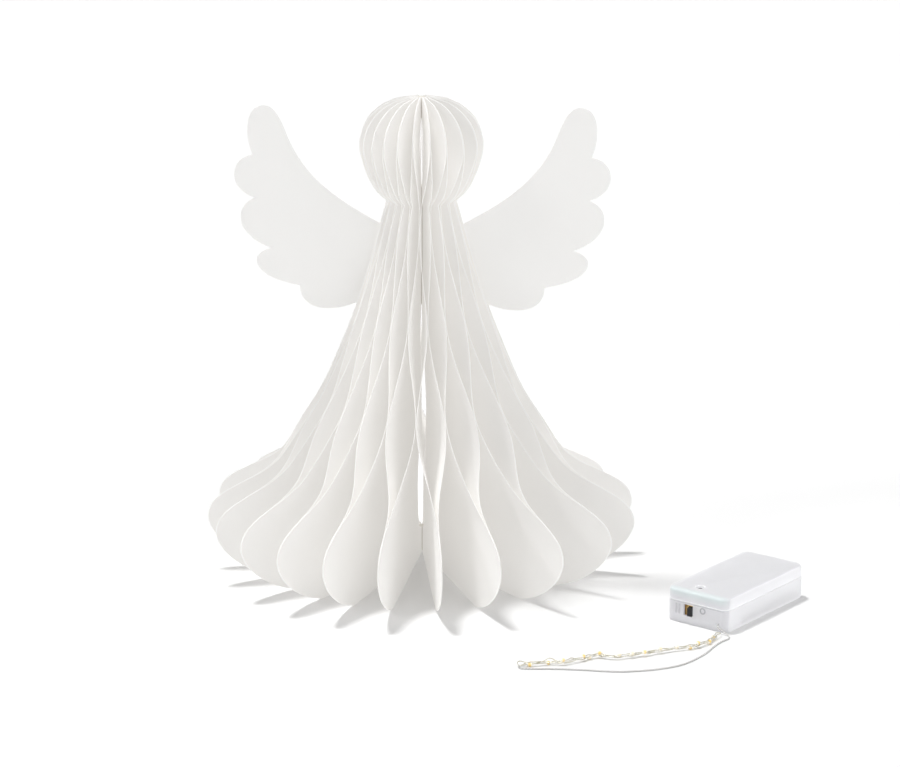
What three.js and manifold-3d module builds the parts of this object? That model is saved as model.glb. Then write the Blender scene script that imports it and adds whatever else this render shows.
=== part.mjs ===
// Light-up paper angel: a honeycomb paper figure that opens like a fan around its upright
// spine, with two card wings, and a string of small lights on a two-cell battery case.
// Millimetres, +Z up, seen from -Y. Angles around the spine run from the front (-Y) towards +X.
import * as THREE from 'three';
import { mergeVertices } from 'three/addons/utils/BufferGeometryUtils.js';
import Module from 'manifold-3d';

const wasm = await Module();
wasm.setup();

// Paper figure
const FIGURE_HEIGHT = 254;
const HEM_RADIUS = 115.3;
const PAPER = 0.2;
const GLUE_FILM = 0.15;
const GLUE_PITCH = 46.6;
const SPINE_RADIUS = 3.2;
const SPINE_GAP = 0.3;
const BINDING_PITCH = 8;
const FOOT_LIFT = 6;
const CORE_DEPTH = 10.6;
const HEAD_CORE_DEPTH = 6.5;
const HEAD_TURN = THREE.MathUtils.degToRad(3.3);

// Card wings
const WING_CARD = 0.3;
const WING_REACH = 104;
const WING_BASE = 136;
const WING_RISE = 112;

// Adhesive pads that hold the opened fan shut at the back
const PAD_THICKNESS = 0.4;
const PAD_DIAMETER = 10;
const PAD_GAP = 0.3;

// Battery case
const CASE_WALL = 1.2;
const CASE_CORNER = 4;
const CASE_EDGE = 1.8;
const FOOT_EDGE = 0.5;
const SEAM_HEIGHT = 11.5;
const SEAM_GAP = 0.3;
const RIM_HEIGHT = 1;
const RIM_WALL = 0.5;
const PARTITION = 1.2;
const SWITCH_ROOM = 13;
const SIDE_ROOM = 1.5;
const CASE_CENTRE_X = 162.7;
const CASE_CENTRE_Y = -76.8;
const CASE_TURN = THREE.MathUtils.degToRad(51.8);
const GRIP_RIB = 0.5;
const GRIP_RIB_HEIGHT = 4.6;
const GRIP_RIB_SIDE = 11.3;
const GRIP_RIB_PITCH = 1.9;

// Cells and their contacts
const CELL_DIAMETER = 14.5;
const CELL_LENGTH = 50.5;
const CELL_NUB = 5.5;
const CELL_NUB_HEIGHT = 1.2;
const CELL_EDGE = 0.6;
const CELL_GAP = 0.3;
const CELL_HEADROOM = 0.8;
const SPRING_LENGTH = 3.2;
const SPRING_WIRE = 0.6;
const SPRING_WIDE = 4.2;
const SPRING_NARROW = 2.6;
const SPRING_TURNS = 3;
const CONTACT_PLATE = 0.4;
const CONTACT_WIDTH = 9;
const CONTACT_HEIGHT = 9;
const CONTACT_BUMP = 0.6;
const CONTACT_BUMP_DIAMETER = 4;

// Slide switch
const WINDOW_WIDTH = 5.6;
const WINDOW_HEIGHT = 6;
const WINDOW_SIDE = 5;
const WINDOW_RISE = 7.4;
const SWITCH_WIDTH = 9;
const SWITCH_HEIGHT = 8;
const SWITCH_DEPTH = 2.8;
const SWITCH_METAL = 0.4;
const KNOB_WIDTH = 2.8;
const KNOB_HEIGHT = 4.2;
const KNOB_STANDS = 0.6;
const SHOE_WIDTH = 4.6;
const SHOE_DEPTH = 1.1;
const SWITCH_TRAVEL = 2.2;
const FIT = 0.3;

// Lid screw and the well that it sits in
const SCREW_HEAD = 4;
const SCREW_HEAD_HEIGHT = 1.2;
const SCREW_SHANK = 1.8;
const SCREW_LENGTH = 8;
const SCREW_SLOT = 0.5;
const SCREW_SIDE = 3.6;
const SCREW_BACK = 2.3;
const SCREW_SINK = 1;
const WELL_WALL = 0.9;
const BOSS_DIAMETER = 4.2;

// Cord and lights
const LEAD_DIAMETER = 0.8;
const LEAD_HOLE = 1.6;
const LEAD_SIDE = -13.1;
const LEAD_RISE = 3.7;
const LEAD_LIFT = 0.05;
const WIRE_DIAMETER = 1;
const STRAND_DIAMETER = 0.6;
const STRAND_SPREAD = 0.8;
const STRAND_HEIGHT = 1.75;
const LIGHT_DIAMETER = 1.7;
const LIGHT_LENGTH = 3.2;
const LIGHTS_PER_RUN = 5;
const RUNS = 3;
const STRAND_TWISTS = 5;
const LOOP_REACH = 5;
const LOOP_WIDTH = 3;
const LOOP_DIP = 0.6;
const OVERRUN = 1;

// Angle of each petal of the opened fan: the eleven at the front as they stand, the rest even.
const rightPetals = [5.4, 20.6, 39.1, 59.2, 79.1, 98.7, 118.3, 137.9, 157.5, 177.2];
const leftPetals = [-10.7, -25.4, -39.6, -54.2, -70, -84.8, -104.4, -124, -143.6, -163.2];

// Edges of one leaf, as shares of the hem radius and the figure's height.
const skirtShares = [
  [0.711, 0], [0.794, 0.013], [0.872, 0.033], [0.937, 0.057], [0.977, 0.081], [1, 0.11],
  [0.982, 0.139], [0.932, 0.161], [0.846, 0.183], [0.755, 0.204], [0.685, 0.228], [0.635, 0.257],
  [0.564, 0.312], [0.451, 0.398], [0.33, 0.531], [0.254, 0.634], [0.19, 0.735], [0.159, 0.784],
];
const headShares = [
  [0.159, 0.784], [0.218, 0.81], [0.266, 0.86], [0.284, 0.906], [0.254, 0.949],
  [0.186, 0.98], [0.112, 0.995], [0.045, 1],
];
const heelShare = 0.676;
const coreShares = [0.079, 0.563];
const headCoreShares = [0.815, 0.955];
const coreRoundShare = 0.3;
const headTurnShares = [0.735, 0.846];

const paper = new THREE.MeshStandardMaterial({ color: 0xf4f0ea, roughness: 0.85, side: THREE.DoubleSide });
const card = new THREE.MeshStandardMaterial({ color: 0xf7f4ef, roughness: 0.8 });
const thread = new THREE.MeshStandardMaterial({ color: 0xeae4d8, roughness: 0.9 });
const adhesive = new THREE.MeshStandardMaterial({ color: 0xece9e0, roughness: 0.4 });
const frosted = new THREE.MeshStandardMaterial({ color: 0xb9bac2, roughness: 0.25 });
const steel = new THREE.MeshStandardMaterial({ color: 0xb4b6b8, roughness: 0.3, metalness: 1 });
const brass = new THREE.MeshStandardMaterial({ color: 0xc79a45, roughness: 0.35, metalness: 1 });
const cellJacket = new THREE.MeshStandardMaterial({ color: 0x8f9298, roughness: 0.4 });
const blackPlastic = new THREE.MeshStandardMaterial({ color: 0x17171a, roughness: 0.5 });
const clearLead = new THREE.MeshStandardMaterial({ color: 0x9a9a98, roughness: 0.3 });
const silverWire = new THREE.MeshStandardMaterial({ color: 0xa39b86, roughness: 0.35, metalness: 0.6 });
const paleWire = new THREE.MeshStandardMaterial({ color: 0xc9c7c2, roughness: 0.5 });

function named(geometry, material, name) {
  const mesh = new THREE.Mesh(geometry, material);
  mesh.name = name;
  return mesh;
}

// A closed mesh as a solid for joining and cutting, and back again.
function solid(geometry) {
  const bare = geometry.clone();
  bare.deleteAttribute('normal');
  bare.deleteAttribute('uv');
  const merged = mergeVertices(bare, 1e-4);
  const vertProperties = new Float32Array(merged.attributes.position.array);
  const triVerts = new Uint32Array(merged.index.array);
  return new wasm.Manifold(new wasm.Mesh({ numProp: 3, vertProperties, triVerts }));
}

function geometryOf(manifold) {
  const mesh = manifold.getMesh();
  const geometry = new THREE.BufferGeometry();
  geometry.setAttribute('position', new THREE.BufferAttribute(new Float32Array(mesh.vertProperties), 3));
  geometry.setIndex(new THREE.BufferAttribute(new Uint32Array(mesh.triVerts), 1));
  return geometry;
}

function block([x0, x1], [y0, y1], [z0, z1]) {
  const box = new THREE.BoxGeometry(x1 - x0, y1 - y0, z1 - z0);
  return box.translate((x0 + x1) / 2, (y0 + y1) / 2, (z0 + z1) / 2);
}

// The range that lies half to either side of a middle.
function about(middle, width) {
  return [middle - width / 2, middle + width / 2];
}

function upright(diameter, z0, z1, x, y, sides) {
  const rod = new THREE.CylinderGeometry(diameter / 2, diameter / 2, z1 - z0, sides);
  return rod.rotateX(Math.PI / 2).translate(x, y, (z0 + z1) / 2);
}

function alongX(diameter, x0, x1, y, z, sides) {
  const rod = new THREE.CylinderGeometry(diameter / 2, diameter / 2, x1 - x0, sides);
  return rod.rotateZ(Math.PI / 2).translate((x0 + x1) / 2, y, z);
}

// The unit vectors of the fan: outwards along a leaf, and across it.
function outwards(angle) {
  return new THREE.Vector3(Math.sin(angle), -Math.cos(angle), 0);
}

function across(angle) {
  return new THREE.Vector3(Math.cos(angle), Math.sin(angle), 0);
}

// A height along the glue pattern: 0 where a petal's two leaves are glued to each other,
// 1 where a leaf is glued to the next petal, and straight in between.
function gluePhase(z) {
  const turns = (z / GLUE_PITCH - 1) / 2;
  if (z < GLUE_PITCH || z > 5 * GLUE_PITCH) return 0;
  return 1 - Math.abs(1 - 2 * (turns - Math.floor(turns)));
}

// The head is turned a little against the skirt: none below the neck, all of it in the head.
function headTurn(z) {
  const [from, to] = headTurnShares;
  return HEAD_TURN * THREE.MathUtils.smoothstep(z / FIGURE_HEIGHT, from, to);
}

function outlineCurve(shares) {
  return new THREE.SplineCurve(shares.map(([r, z]) => new THREE.Vector2(r * HEM_RADIUS, z * FIGURE_HEIGHT)));
}

// The outer edge of a leaf as a function of height, with the neck left sharp.
const outerEdge = [
  ...outlineCurve(skirtShares).getPoints(12 * skirtShares.length),
  ...outlineCurve(headShares).getPoints(12 * headShares.length).slice(1),
];

function outerRadius(z) {
  const next = outerEdge.findIndex((p) => p.y > z);
  if (next < 0) return outerEdge[outerEdge.length - 1].x;
  if (next === 0) return outerEdge[0].x;
  const a = outerEdge[next - 1];
  const b = outerEdge[next];
  return THREE.MathUtils.mapLinear(z, a.y, b.y, a.x, b.x);
}

// The inner edge: an arch under the skirt, a drop-shaped hollow in it and a lens in the head.
function innerRadius(z) {
  const heel = heelShare * HEM_RADIUS;
  if (z < FOOT_LIFT) return THREE.MathUtils.mapLinear(z, 0, FOOT_LIFT, heel, SPINE_RADIUS);
  const rise = z / FIGURE_HEIGHT;
  const t = (rise - coreShares[0]) / (coreShares[1] - coreShares[0]);
  if (t > 0 && t < 1) {
    const peak = coreRoundShare / (1 + coreRoundShare);
    const top = peak ** coreRoundShare * (1 - peak);
    return SPINE_RADIUS + (CORE_DEPTH * t ** coreRoundShare * (1 - t)) / top;
  }
  const h = (rise - headCoreShares[0]) / (headCoreShares[1] - headCoreShares[0]);
  if (h > 0 && h < 1) return SPINE_RADIUS + HEAD_CORE_DEPTH * Math.sin(Math.PI * h);
  return SPINE_RADIUS;
}

// Heights at which a leaf has a row of corners: the outline's bends, the core's and the glue lines.
const coreRowShares = [...coreShares, 0.09, 0.12, 0.28, ...headCoreShares, 0.84, 0.885, 0.93];
const leastStepShare = 0.012;

function rowHeights() {
  const bends = [skirtShares, headShares].flatMap((shares) => outlineCurve(shares).getPoints(shares.length));
  const glue = [1, 2, 3, 4, 5].map((n) => n * GLUE_PITCH);
  const kept = [...glue, FOOT_LIFT, ...coreRowShares.map((s) => s * FIGURE_HEIGHT)];
  const step = leastStepShare * FIGURE_HEIGHT;
  const free = bends.map((p) => p.y).filter((z) => kept.every((k) => Math.abs(k - z) > step));
  return [...kept, ...free].sort((a, b) => a - b).filter((z, i, all) => i === 0 || z - all[i - 1] > step / 4);
}

const rows = rowHeights();

// One leaf: a straight-ruled sheet whose angle and sideways place follow the glue pattern. Each
// strip is creased from the glue line's inner end, so that the leaf keeps clear of the next petal.
function leafGeometry(petal, towards, joinGap) {
  const side = Math.sign(towards);
  const glued = (PAPER + GLUE_FILM) / 2;
  const joined = (PAPER + joinGap) / 2;
  const corners = [];
  for (const z of rows) {
    const phase = gluePhase(z);
    const angle = petal + (towards / 2) * phase + headTurn(z);
    const shift = side * THREE.MathUtils.lerp(glued, -joined, phase);
    for (const face of [-PAPER / 2, PAPER / 2]) {
      for (const radius of [innerRadius(z), Math.max(outerRadius(z), innerRadius(z) + PAPER)]) {
        const p = outwards(angle).multiplyScalar(radius);
        p.addScaledVector(across(angle), shift + face);
        corners.push(p.x, p.y, z);
      }
    }
  }
  const faces = [];
  const quad = ([a, b, c, d]) => faces.push(a, b, c, a, c, d);
  const turned = ([a, b, c, d]) => [b, c, d, a];
  for (let i = 0; i < rows.length - 1; i += 1) {
    const a = 4 * i;
    const b = a + 4;
    const sides = [[a, a + 1, b + 1, b], [a + 2, b + 2, b + 3, a + 3]];
    const rising = gluePhase(rows[i + 1]) > gluePhase(rows[i]);
    sides.forEach((corner) => quad(rising ? turned(corner) : corner));
    quad([a + 2, a, b, b + 2]);
    quad([a + 1, a + 3, b + 3, b + 1]);
  }
  const last = 4 * (rows.length - 1);
  quad([1, 0, 2, 3]);
  quad([last, last + 1, last + 3, last + 2]);
  const geometry = new THREE.BufferGeometry();
  geometry.setAttribute('position', new THREE.Float32BufferAttribute(corners, 3));
  geometry.setIndex(faces);
  return geometry;
}

// The fan: two leaves to a petal, glued by turns to each other and to the next petal.
function addLeaves(fan) {
  const turn = 360;
  const ring = [...rightPetals, ...leftPetals.map((a) => a + turn).reverse()];
  const names = [
    ...rightPetals.map((_, i) => `r${String(i + 1).padStart(2, '0')}`),
    ...leftPetals.map((_, i) => `l${String(i + 1).padStart(2, '0')}`).reverse(),
  ];
  const seam = rightPetals.length - 1;
  ring.forEach((angle, i) => {
    const after = i + 1 < ring.length ? ring[i + 1] : ring[0] + turn;
    const before = i > 0 ? ring[i - 1] : ring[ring.length - 1] - turn;
    const padRoom = PAD_THICKNESS + 2 * PAD_GAP;
    const petal = THREE.MathUtils.degToRad(angle);
    const up = THREE.MathUtils.degToRad(after - angle);
    const down = THREE.MathUtils.degToRad(before - angle);
    const first = leafGeometry(petal, down, i === seam + 1 ? padRoom : GLUE_FILM);
    const second = leafGeometry(petal, up, i === seam ? padRoom : GLUE_FILM);
    fan.add(named(first, paper, `leaf_${names[i]}_a`));
    fan.add(named(second, paper, `leaf_${names[i]}_b`));
  });
}

// Thread-wound bindings where the leaves meet on the spine: foot, neck and crown.
function bindingGeometry(bottom, top) {
  const radius = SPINE_RADIUS - SPINE_GAP;
  const waist = radius * 0.86;
  const windings = Math.max(2, Math.round((top - bottom) / BINDING_PITCH));
  const profile = [new THREE.Vector2(0, bottom)];
  for (let i = 0; i <= 2 * windings; i += 1) {
    const z = THREE.MathUtils.lerp(bottom, top, i / (2 * windings));
    profile.push(new THREE.Vector2(i % 2 ? radius : waist, z));
  }
  profile.push(new THREE.Vector2(0, top));
  return new THREE.LatheGeometry(profile, 10).rotateX(Math.PI / 2);
}

function addBindings(fan) {
  const foot = [FOOT_LIFT + SPINE_GAP, coreShares[0] * FIGURE_HEIGHT];
  const neck = [coreShares[1] * FIGURE_HEIGHT, headCoreShares[0] * FIGURE_HEIGHT];
  const crown = [headCoreShares[1] * FIGURE_HEIGHT, FIGURE_HEIGHT - SPINE_GAP];
  fan.add(named(bindingGeometry(...foot), thread, 'foot_binding'));
  fan.add(named(bindingGeometry(...neck), thread, 'neck_binding'));
  fan.add(named(bindingGeometry(...crown), thread, 'crown_binding'));
}

// A flat piece that stands in an upright plane through the spine.
function standInPlane(mesh, angle, thickness) {
  const normal = across(angle).negate();
  const upwards = new THREE.Vector3(0, 0, 1);
  mesh.quaternion.setFromRotationMatrix(new THREE.Matrix4().makeBasis(outwards(angle), upwards, normal));
  mesh.position.copy(normal).multiplyScalar(-thickness / 2);
  return mesh;
}

// Wing outline from its upper root corner round the tip and the feather lobes to the tab:
// each row is a curve's two handles and its end, as shares of the wing's reach and rise.
const wingStartShares = [0.214, 0.4495];
const wingCurveShares = [
  [0.413, 0.55, 0.577, 0.648, 0.663, 0.824],
  [0.697, 0.896, 0.726, 0.998, 0.793, 1],
  [0.894, 1.003, 0.899, 0.858, 0.856, 0.765],
  [0.971, 0.752, 1, 0.607, 0.849, 0.56],
  [0.952, 0.523, 0.966, 0.384, 0.769, 0.32],
  [0.889, 0.29, 0.88, 0.179, 0.624, 0.141],
  [0.625, 0.027, 0.481, 0, 0.322, 0.067],
];
const wingTabShares = [
  [0.212, 0.125], [0.135, 0.196], [0.106, 0.268], [0.115, 0.339], [0.154, 0.393], [0.209, 0.43],
];

function wingGeometry() {
  const at = (r, z) => [r * WING_REACH, WING_BASE + z * WING_RISE];
  const shape = new THREE.Shape();
  shape.moveTo(...at(...wingStartShares));
  for (const [ar, az, br, bz, r, z] of wingCurveShares) {
    shape.bezierCurveTo(...at(ar, az), ...at(br, bz), ...at(r, z));
  }
  for (const [r, z] of wingTabShares) shape.lineTo(...at(r, z));
  shape.closePath();
  return new THREE.ExtrudeGeometry(shape, { depth: WING_CARD, bevelEnabled: false, curveSegments: 7 });
}

// Each wing's tab sits between two side petals, half-way from one to the next.
function addWings(fan) {
  const mid = (a, b) => THREE.MathUtils.degToRad((a + b) / 2);
  const leftAngle = mid(leftPetals[5], leftPetals[6]);
  const rightAngle = mid(rightPetals[4], rightPetals[5]);
  fan.add(standInPlane(named(wingGeometry(), card, 'wing_left'), leftAngle, WING_CARD));
  fan.add(standInPlane(named(wingGeometry(), card, 'wing_right'), rightAngle, WING_CARD));
}

// Self-adhesive pads in the back seam, on the two glue lines that stay open for them.
function addPads(fan) {
  const last = rightPetals.length - 1;
  const angle = THREE.MathUtils.degToRad((rightPetals[last] + leftPetals[last] + 360) / 2);
  const lower = outerRadius(2 * GLUE_PITCH) - PAD_DIAMETER;
  const upper = (outerRadius(4 * GLUE_PITCH) + SPINE_RADIUS) / 2;
  const places = [['seam_pad_lower', lower, 2 * GLUE_PITCH], ['seam_pad_upper', upper, 4 * GLUE_PITCH]];
  for (const [name, radius, height] of places) {
    const pad = new THREE.CylinderGeometry(PAD_DIAMETER / 2, PAD_DIAMETER / 2, PAD_THICKNESS, 20);
    pad.rotateX(Math.PI / 2).translate(radius, height, PAD_THICKNESS / 2);
    fan.add(standInPlane(named(pad, adhesive, name), angle + headTurn(height), PAD_THICKNESS));
  }
}

// Battery case, in its own frame: X along it, the switch end at -X, the wire exit at -Y. Its
// size comes from what lies in it: the switch, the partition and the row of contacts and cells.
const rim = CASE_WALL + FIT + RIM_WALL;
const contactRow = 2 * CONTACT_PLATE + CONTACT_BUMP + SPRING_LENGTH + CELL_LENGTH + 4 * CELL_GAP;
const caseLength = rim + SWITCH_ROOM + PARTITION + contactRow + CASE_WALL;
const cellSide = (CELL_DIAMETER + CELL_GAP) / 2;
const trough = CELL_DIAMETER + 2 * CELL_GAP;
const caseWidth = 2 * (rim + SIDE_ROOM + cellSide) + trough;
const caseHeight = 2 * CASE_WALL + CELL_GAP + CELL_DIAMETER + CELL_HEADROOM;
const half = { x: caseLength / 2, y: caseWidth / 2 };
const inner = { x: half.x - CASE_WALL, y: half.y - CASE_WALL };
const roomy = { x: half.x - rim, y: half.y - rim };
const seam = { below: SEAM_HEIGHT - SEAM_GAP / 2, above: SEAM_HEIGHT + SEAM_GAP / 2 };
const cellRise = CASE_WALL + CELL_GAP + CELL_DIAMETER / 2;
const switchX = [-inner.x + FIT, -inner.x + FIT + SWITCH_DEPTH];
const screwX = switchX[1] + SCREW_BACK + BOSS_DIAMETER / 2;
const screwSeat = caseHeight - SCREW_SINK - SCREW_HEAD_HEIGHT;
const wellBottom = screwSeat - FIT - CASE_WALL;

// The contacts and cells, worked out from the far end wall towards the switch.
const farPlate = [inner.x - CELL_GAP - CONTACT_PLATE, inner.x - CELL_GAP];
const rightCellEnd = farPlate[0] - SPRING_LENGTH - CELL_GAP;
const bumpEnd = rightCellEnd - CELL_LENGTH - CELL_GAP;
const nearPlate = [bumpEnd - CONTACT_BUMP - CONTACT_PLATE, bumpEnd - CONTACT_BUMP];
const leftCellEnd = nearPlate[1] + SPRING_LENGTH + CELL_GAP;
const bayEnd = nearPlate[0] - CELL_GAP;

function roundedRectangle(length, width, corner) {
  const [x, y] = [length / 2, width / 2];
  const shape = new THREE.Shape();
  shape.moveTo(x - corner, -y);
  shape.absarc(x - corner, -y + corner, corner, -Math.PI / 2, 0);
  shape.absarc(x - corner, y - corner, corner, 0, Math.PI / 2);
  shape.absarc(-x + corner, y - corner, corner, Math.PI / 2, Math.PI);
  shape.absarc(-x + corner, -y + corner, corner, Math.PI, (3 * Math.PI) / 2);
  return shape;
}

function prism(length, width, corner, z0, z1) {
  const shape = roundedRectangle(length, width, corner);
  const settings = { depth: z1 - z0, bevelEnabled: false, curveSegments: 4 };
  const geometry = new THREE.ExtrudeGeometry(shape, settings);
  return geometry.translate(0, 0, z0);
}

// A prism whose end edges are rounded by the given amount.
function softPrism(length, width, corner, z0, z1, edge, segments) {
  const shape = roundedRectangle(length - 2 * edge, width - 2 * edge, corner - edge / 2);
  const geometry = new THREE.ExtrudeGeometry(shape, {
    depth: z1 - z0 - 2 * edge,
    bevelThickness: edge,
    bevelSize: edge,
    bevelSegments: segments,
    curveSegments: 4,
  });
  return geometry.translate(0, 0, z0 + edge);
}

// Everything above and outside the case, from the given height up or down.
function beyondCase(z) {
  return block(about(0, caseLength + 2 * OVERRUN), about(0, caseWidth + 2 * OVERRUN), z);
}

// The room of the two cells: a trough under each and an open bay above them.
function cellBay() {
  const open = block([bayEnd, roomy.x], about(0, 2 * roomy.y), [cellRise, caseHeight]);
  const contacts = 2 * cellSide + CONTACT_WIDTH + 2 * FIT;
  const plateFoot = cellRise - CONTACT_HEIGHT / 2 - FIT;
  const plates = block([roomy.x - OVERRUN, inner.x], about(0, contacts), [plateFoot, caseHeight]);
  let bay = solid(open).add(solid(plates));
  for (const side of [-cellSide, cellSide]) {
    bay = bay.add(solid(alongX(trough, bayEnd, roomy.x, side, cellRise, 24)));
  }
  return bay;
}

// The room of the switch and the wires, with the switch set into the rim behind its window.
function switchRoom() {
  const room = block([-roomy.x, bayEnd - PARTITION], about(0, 2 * roomy.y), [CASE_WALL, caseHeight]);
  const seatWidth = about(WINDOW_SIDE, SWITCH_WIDTH + 2 * FIT);
  const seat = block([-inner.x, -roomy.x + OVERRUN], seatWidth, [CASE_WALL, caseHeight]);
  return solid(room).add(solid(seat));
}

function caseBodyGeometry() {
  const shell = softPrism(caseLength, caseWidth, CASE_CORNER, 0, caseHeight, FOOT_EDGE, 1);
  const lipSize = [2 * inner.x - 2 * FIT, 2 * inner.y - 2 * FIT];
  const lip = prism(...lipSize, CASE_CORNER - CASE_WALL, CASE_WALL, seam.below + RIM_HEIGHT);
  let body = solid(shell).subtract(solid(beyondCase([seam.below, caseHeight + OVERRUN]))).add(solid(lip));
  body = body.subtract(cellBay()).subtract(switchRoom());
  const wall = [-half.x - OVERRUN, -roomy.x + OVERRUN];
  const window = block(wall, about(WINDOW_SIDE, WINDOW_WIDTH), about(WINDOW_RISE, WINDOW_HEIGHT));
  body = body.subtract(solid(window));
  body = body.subtract(solid(alongX(LEAD_HOLE, ...wall, LEAD_SIDE, LEAD_RISE, 12)));
  const boss = upright(BOSS_DIAMETER, CASE_WALL / 2, wellBottom - FIT, screwX, SCREW_SIDE, 16);
  const bore = upright(SCREW_SHANK + 2 * FIT, 2 * CASE_WALL, caseHeight, screwX, SCREW_SIDE, 12);
  body = body.add(solid(boss)).subtract(solid(bore));
  const notch = WIRE_DIAMETER + 2 * FIT;
  const through = [bayEnd - PARTITION - OVERRUN, bayEnd + OVERRUN];
  const pass = block(through, about(-cellSide, notch), [cellRise + CONTACT_HEIGHT / 2 - notch, caseHeight]);
  body = body.subtract(solid(pass));
  for (const side of about(GRIP_RIB_SIDE, GRIP_RIB_PITCH)) {
    const proud = [-half.x - GRIP_RIB, -half.x + CASE_WALL / 2];
    const rib = block(proud, about(side, GRIP_RIB), about(WINDOW_RISE, GRIP_RIB_HEIGHT));
    body = body.add(solid(rib));
  }
  return geometryOf(body);
}

function caseLidGeometry() {
  const shell = softPrism(caseLength, caseWidth, CASE_CORNER, 0, caseHeight, CASE_EDGE, 3);
  const hollow = prism(2 * inner.x, 2 * inner.y, CASE_CORNER - CASE_WALL, 0, caseHeight - CASE_WALL);
  const wellDiameter = SCREW_HEAD + 2 * FIT + 2 * WELL_WALL;
  const well = upright(wellDiameter, wellBottom, caseHeight - CASE_WALL / 2, screwX, SCREW_SIDE, 20);
  const bore = upright(SCREW_SHANK + 2 * FIT, 0, caseHeight, screwX, SCREW_SIDE, 12);
  const sink = upright(SCREW_HEAD + 2 * FIT, screwSeat - FIT, caseHeight + OVERRUN, screwX, SCREW_SIDE, 20);
  let lid = solid(shell).subtract(solid(beyondCase([-OVERRUN, seam.above]))).subtract(solid(hollow));
  lid = lid.add(solid(well)).subtract(solid(bore)).subtract(solid(sink));
  return geometryOf(lid);
}

function screwGeometry() {
  const tip = screwSeat - SCREW_LENGTH;
  const top = screwSeat + SCREW_HEAD_HEIGHT;
  const profile = [
    new THREE.Vector2(0, tip),
    new THREE.Vector2(SCREW_SHANK / 2, tip + SCREW_SHANK),
    new THREE.Vector2(SCREW_SHANK / 2, screwSeat),
    new THREE.Vector2(SCREW_HEAD / 2, screwSeat),
    new THREE.Vector2(SCREW_HEAD / 2, top - SCREW_HEAD_HEIGHT / 2),
    new THREE.Vector2(SCREW_HEAD / 3, top),
    new THREE.Vector2(0, top),
  ];
  let screw = solid(new THREE.LatheGeometry(profile, 16).rotateX(Math.PI / 2));
  const reach = about(0, SCREW_HEAD * 0.6);
  const deep = [top - SCREW_HEAD_HEIGHT / 2, top + OVERRUN];
  screw = screw.subtract(solid(block(reach, about(0, SCREW_SLOT), deep)));
  screw = screw.subtract(solid(block(about(0, SCREW_SLOT), reach, deep)));
  return geometryOf(screw).translate(screwX, SCREW_SIDE, 0);
}

// A cell lying along X from its flat end at x0, with its nub towards the given direction.
function cellGeometry(x0, direction, side) {
  const radius = CELL_DIAMETER / 2;
  const shoulder = CELL_LENGTH - CELL_NUB_HEIGHT;
  const profile = [
    new THREE.Vector2(0, 0),
    new THREE.Vector2(radius - CELL_EDGE, 0),
    new THREE.Vector2(radius, CELL_EDGE),
    new THREE.Vector2(radius, shoulder - CELL_EDGE),
    new THREE.Vector2(radius - CELL_EDGE, shoulder),
    new THREE.Vector2(CELL_NUB / 2, shoulder),
    new THREE.Vector2(CELL_NUB / 2, CELL_LENGTH),
    new THREE.Vector2(0, CELL_LENGTH),
  ];
  const cell = new THREE.LatheGeometry(profile, 20);
  return cell.rotateZ((-direction * Math.PI) / 2).translate(x0, side, cellRise);
}

// A tube through the given points, with a radius and a ring of corners at each.
function sweep(points, radii, sides) {
  const tangents = points.map((_, i) => {
    const a = points[Math.max(i - 1, 0)];
    const b = points[Math.min(i + 1, points.length - 1)];
    return b.clone().sub(a).normalize();
  });
  let normal = new THREE.Vector3(0, 0, 1).cross(tangents[0]).normalize();
  const corners = [];
  points.forEach((p, i) => {
    normal = normal.clone().addScaledVector(tangents[i], -normal.dot(tangents[i])).normalize();
    const binormal = tangents[i].clone().cross(normal);
    for (let k = 0; k < sides; k += 1) {
      const turn = (2 * Math.PI * k) / sides;
      const corner = p.clone().addScaledVector(normal, radii[i] * Math.cos(turn));
      corner.addScaledVector(binormal, radii[i] * Math.sin(turn));
      corners.push(corner.x, corner.y, corner.z);
    }
  });
  const faces = [];
  for (let i = 0; i < points.length - 1; i += 1) {
    for (let k = 0; k < sides; k += 1) {
      const a = i * sides + k;
      const b = i * sides + ((k + 1) % sides);
      faces.push(a, b, b + sides, a, b + sides, a + sides);
    }
  }
  const end = (points.length - 1) * sides;
  for (let k = 1; k < sides - 1; k += 1) {
    faces.push(0, k + 1, k);
    faces.push(end, end + k, end + k + 1);
  }
  const geometry = new THREE.BufferGeometry();
  geometry.setAttribute('position', new THREE.Float32BufferAttribute(corners, 3));
  geometry.setIndex(faces);
  return geometry;
}

// A conical contact spring along X, wide at the plate and narrow at the cell.
function springGeometry(plateX, direction, side) {
  const steps = Math.round(8 * SPRING_TURNS);
  const points = [];
  for (let i = 0; i <= steps; i += 1) {
    const t = i / steps;
    const turn = 2 * Math.PI * SPRING_TURNS * t;
    const radius = THREE.MathUtils.lerp(SPRING_WIDE, SPRING_NARROW, t) - SPRING_WIRE / 2;
    const x = plateX + direction * THREE.MathUtils.lerp(0, SPRING_LENGTH - SPRING_WIRE / 2, t);
    points.push(new THREE.Vector3(x, side + radius * Math.cos(turn), cellRise + radius * Math.sin(turn)));
  }
  return sweep(points, points.map(() => SPRING_WIRE / 2), 5);
}

// A contact plate that stands across the cells, with a round bump on one face for a nub.
function plate(x, y, width) {
  return solid(block(x, about(y, width), about(cellRise, CONTACT_HEIGHT)));
}

function bump(x0, x1, y) {
  return solid(alongX(CONTACT_BUMP_DIAMETER, x0, x1, y, cellRise, 12));
}

function positiveTabGeometry() {
  return geometryOf(plate(nearPlate, -cellSide, CONTACT_WIDTH).add(bump(nearPlate[0], bumpEnd, -cellSide)));
}

function negativeSpringGeometry() {
  const spring = solid(springGeometry(nearPlate[1], 1, cellSide));
  return geometryOf(plate(nearPlate, cellSide, CONTACT_WIDTH).add(spring));
}

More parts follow.
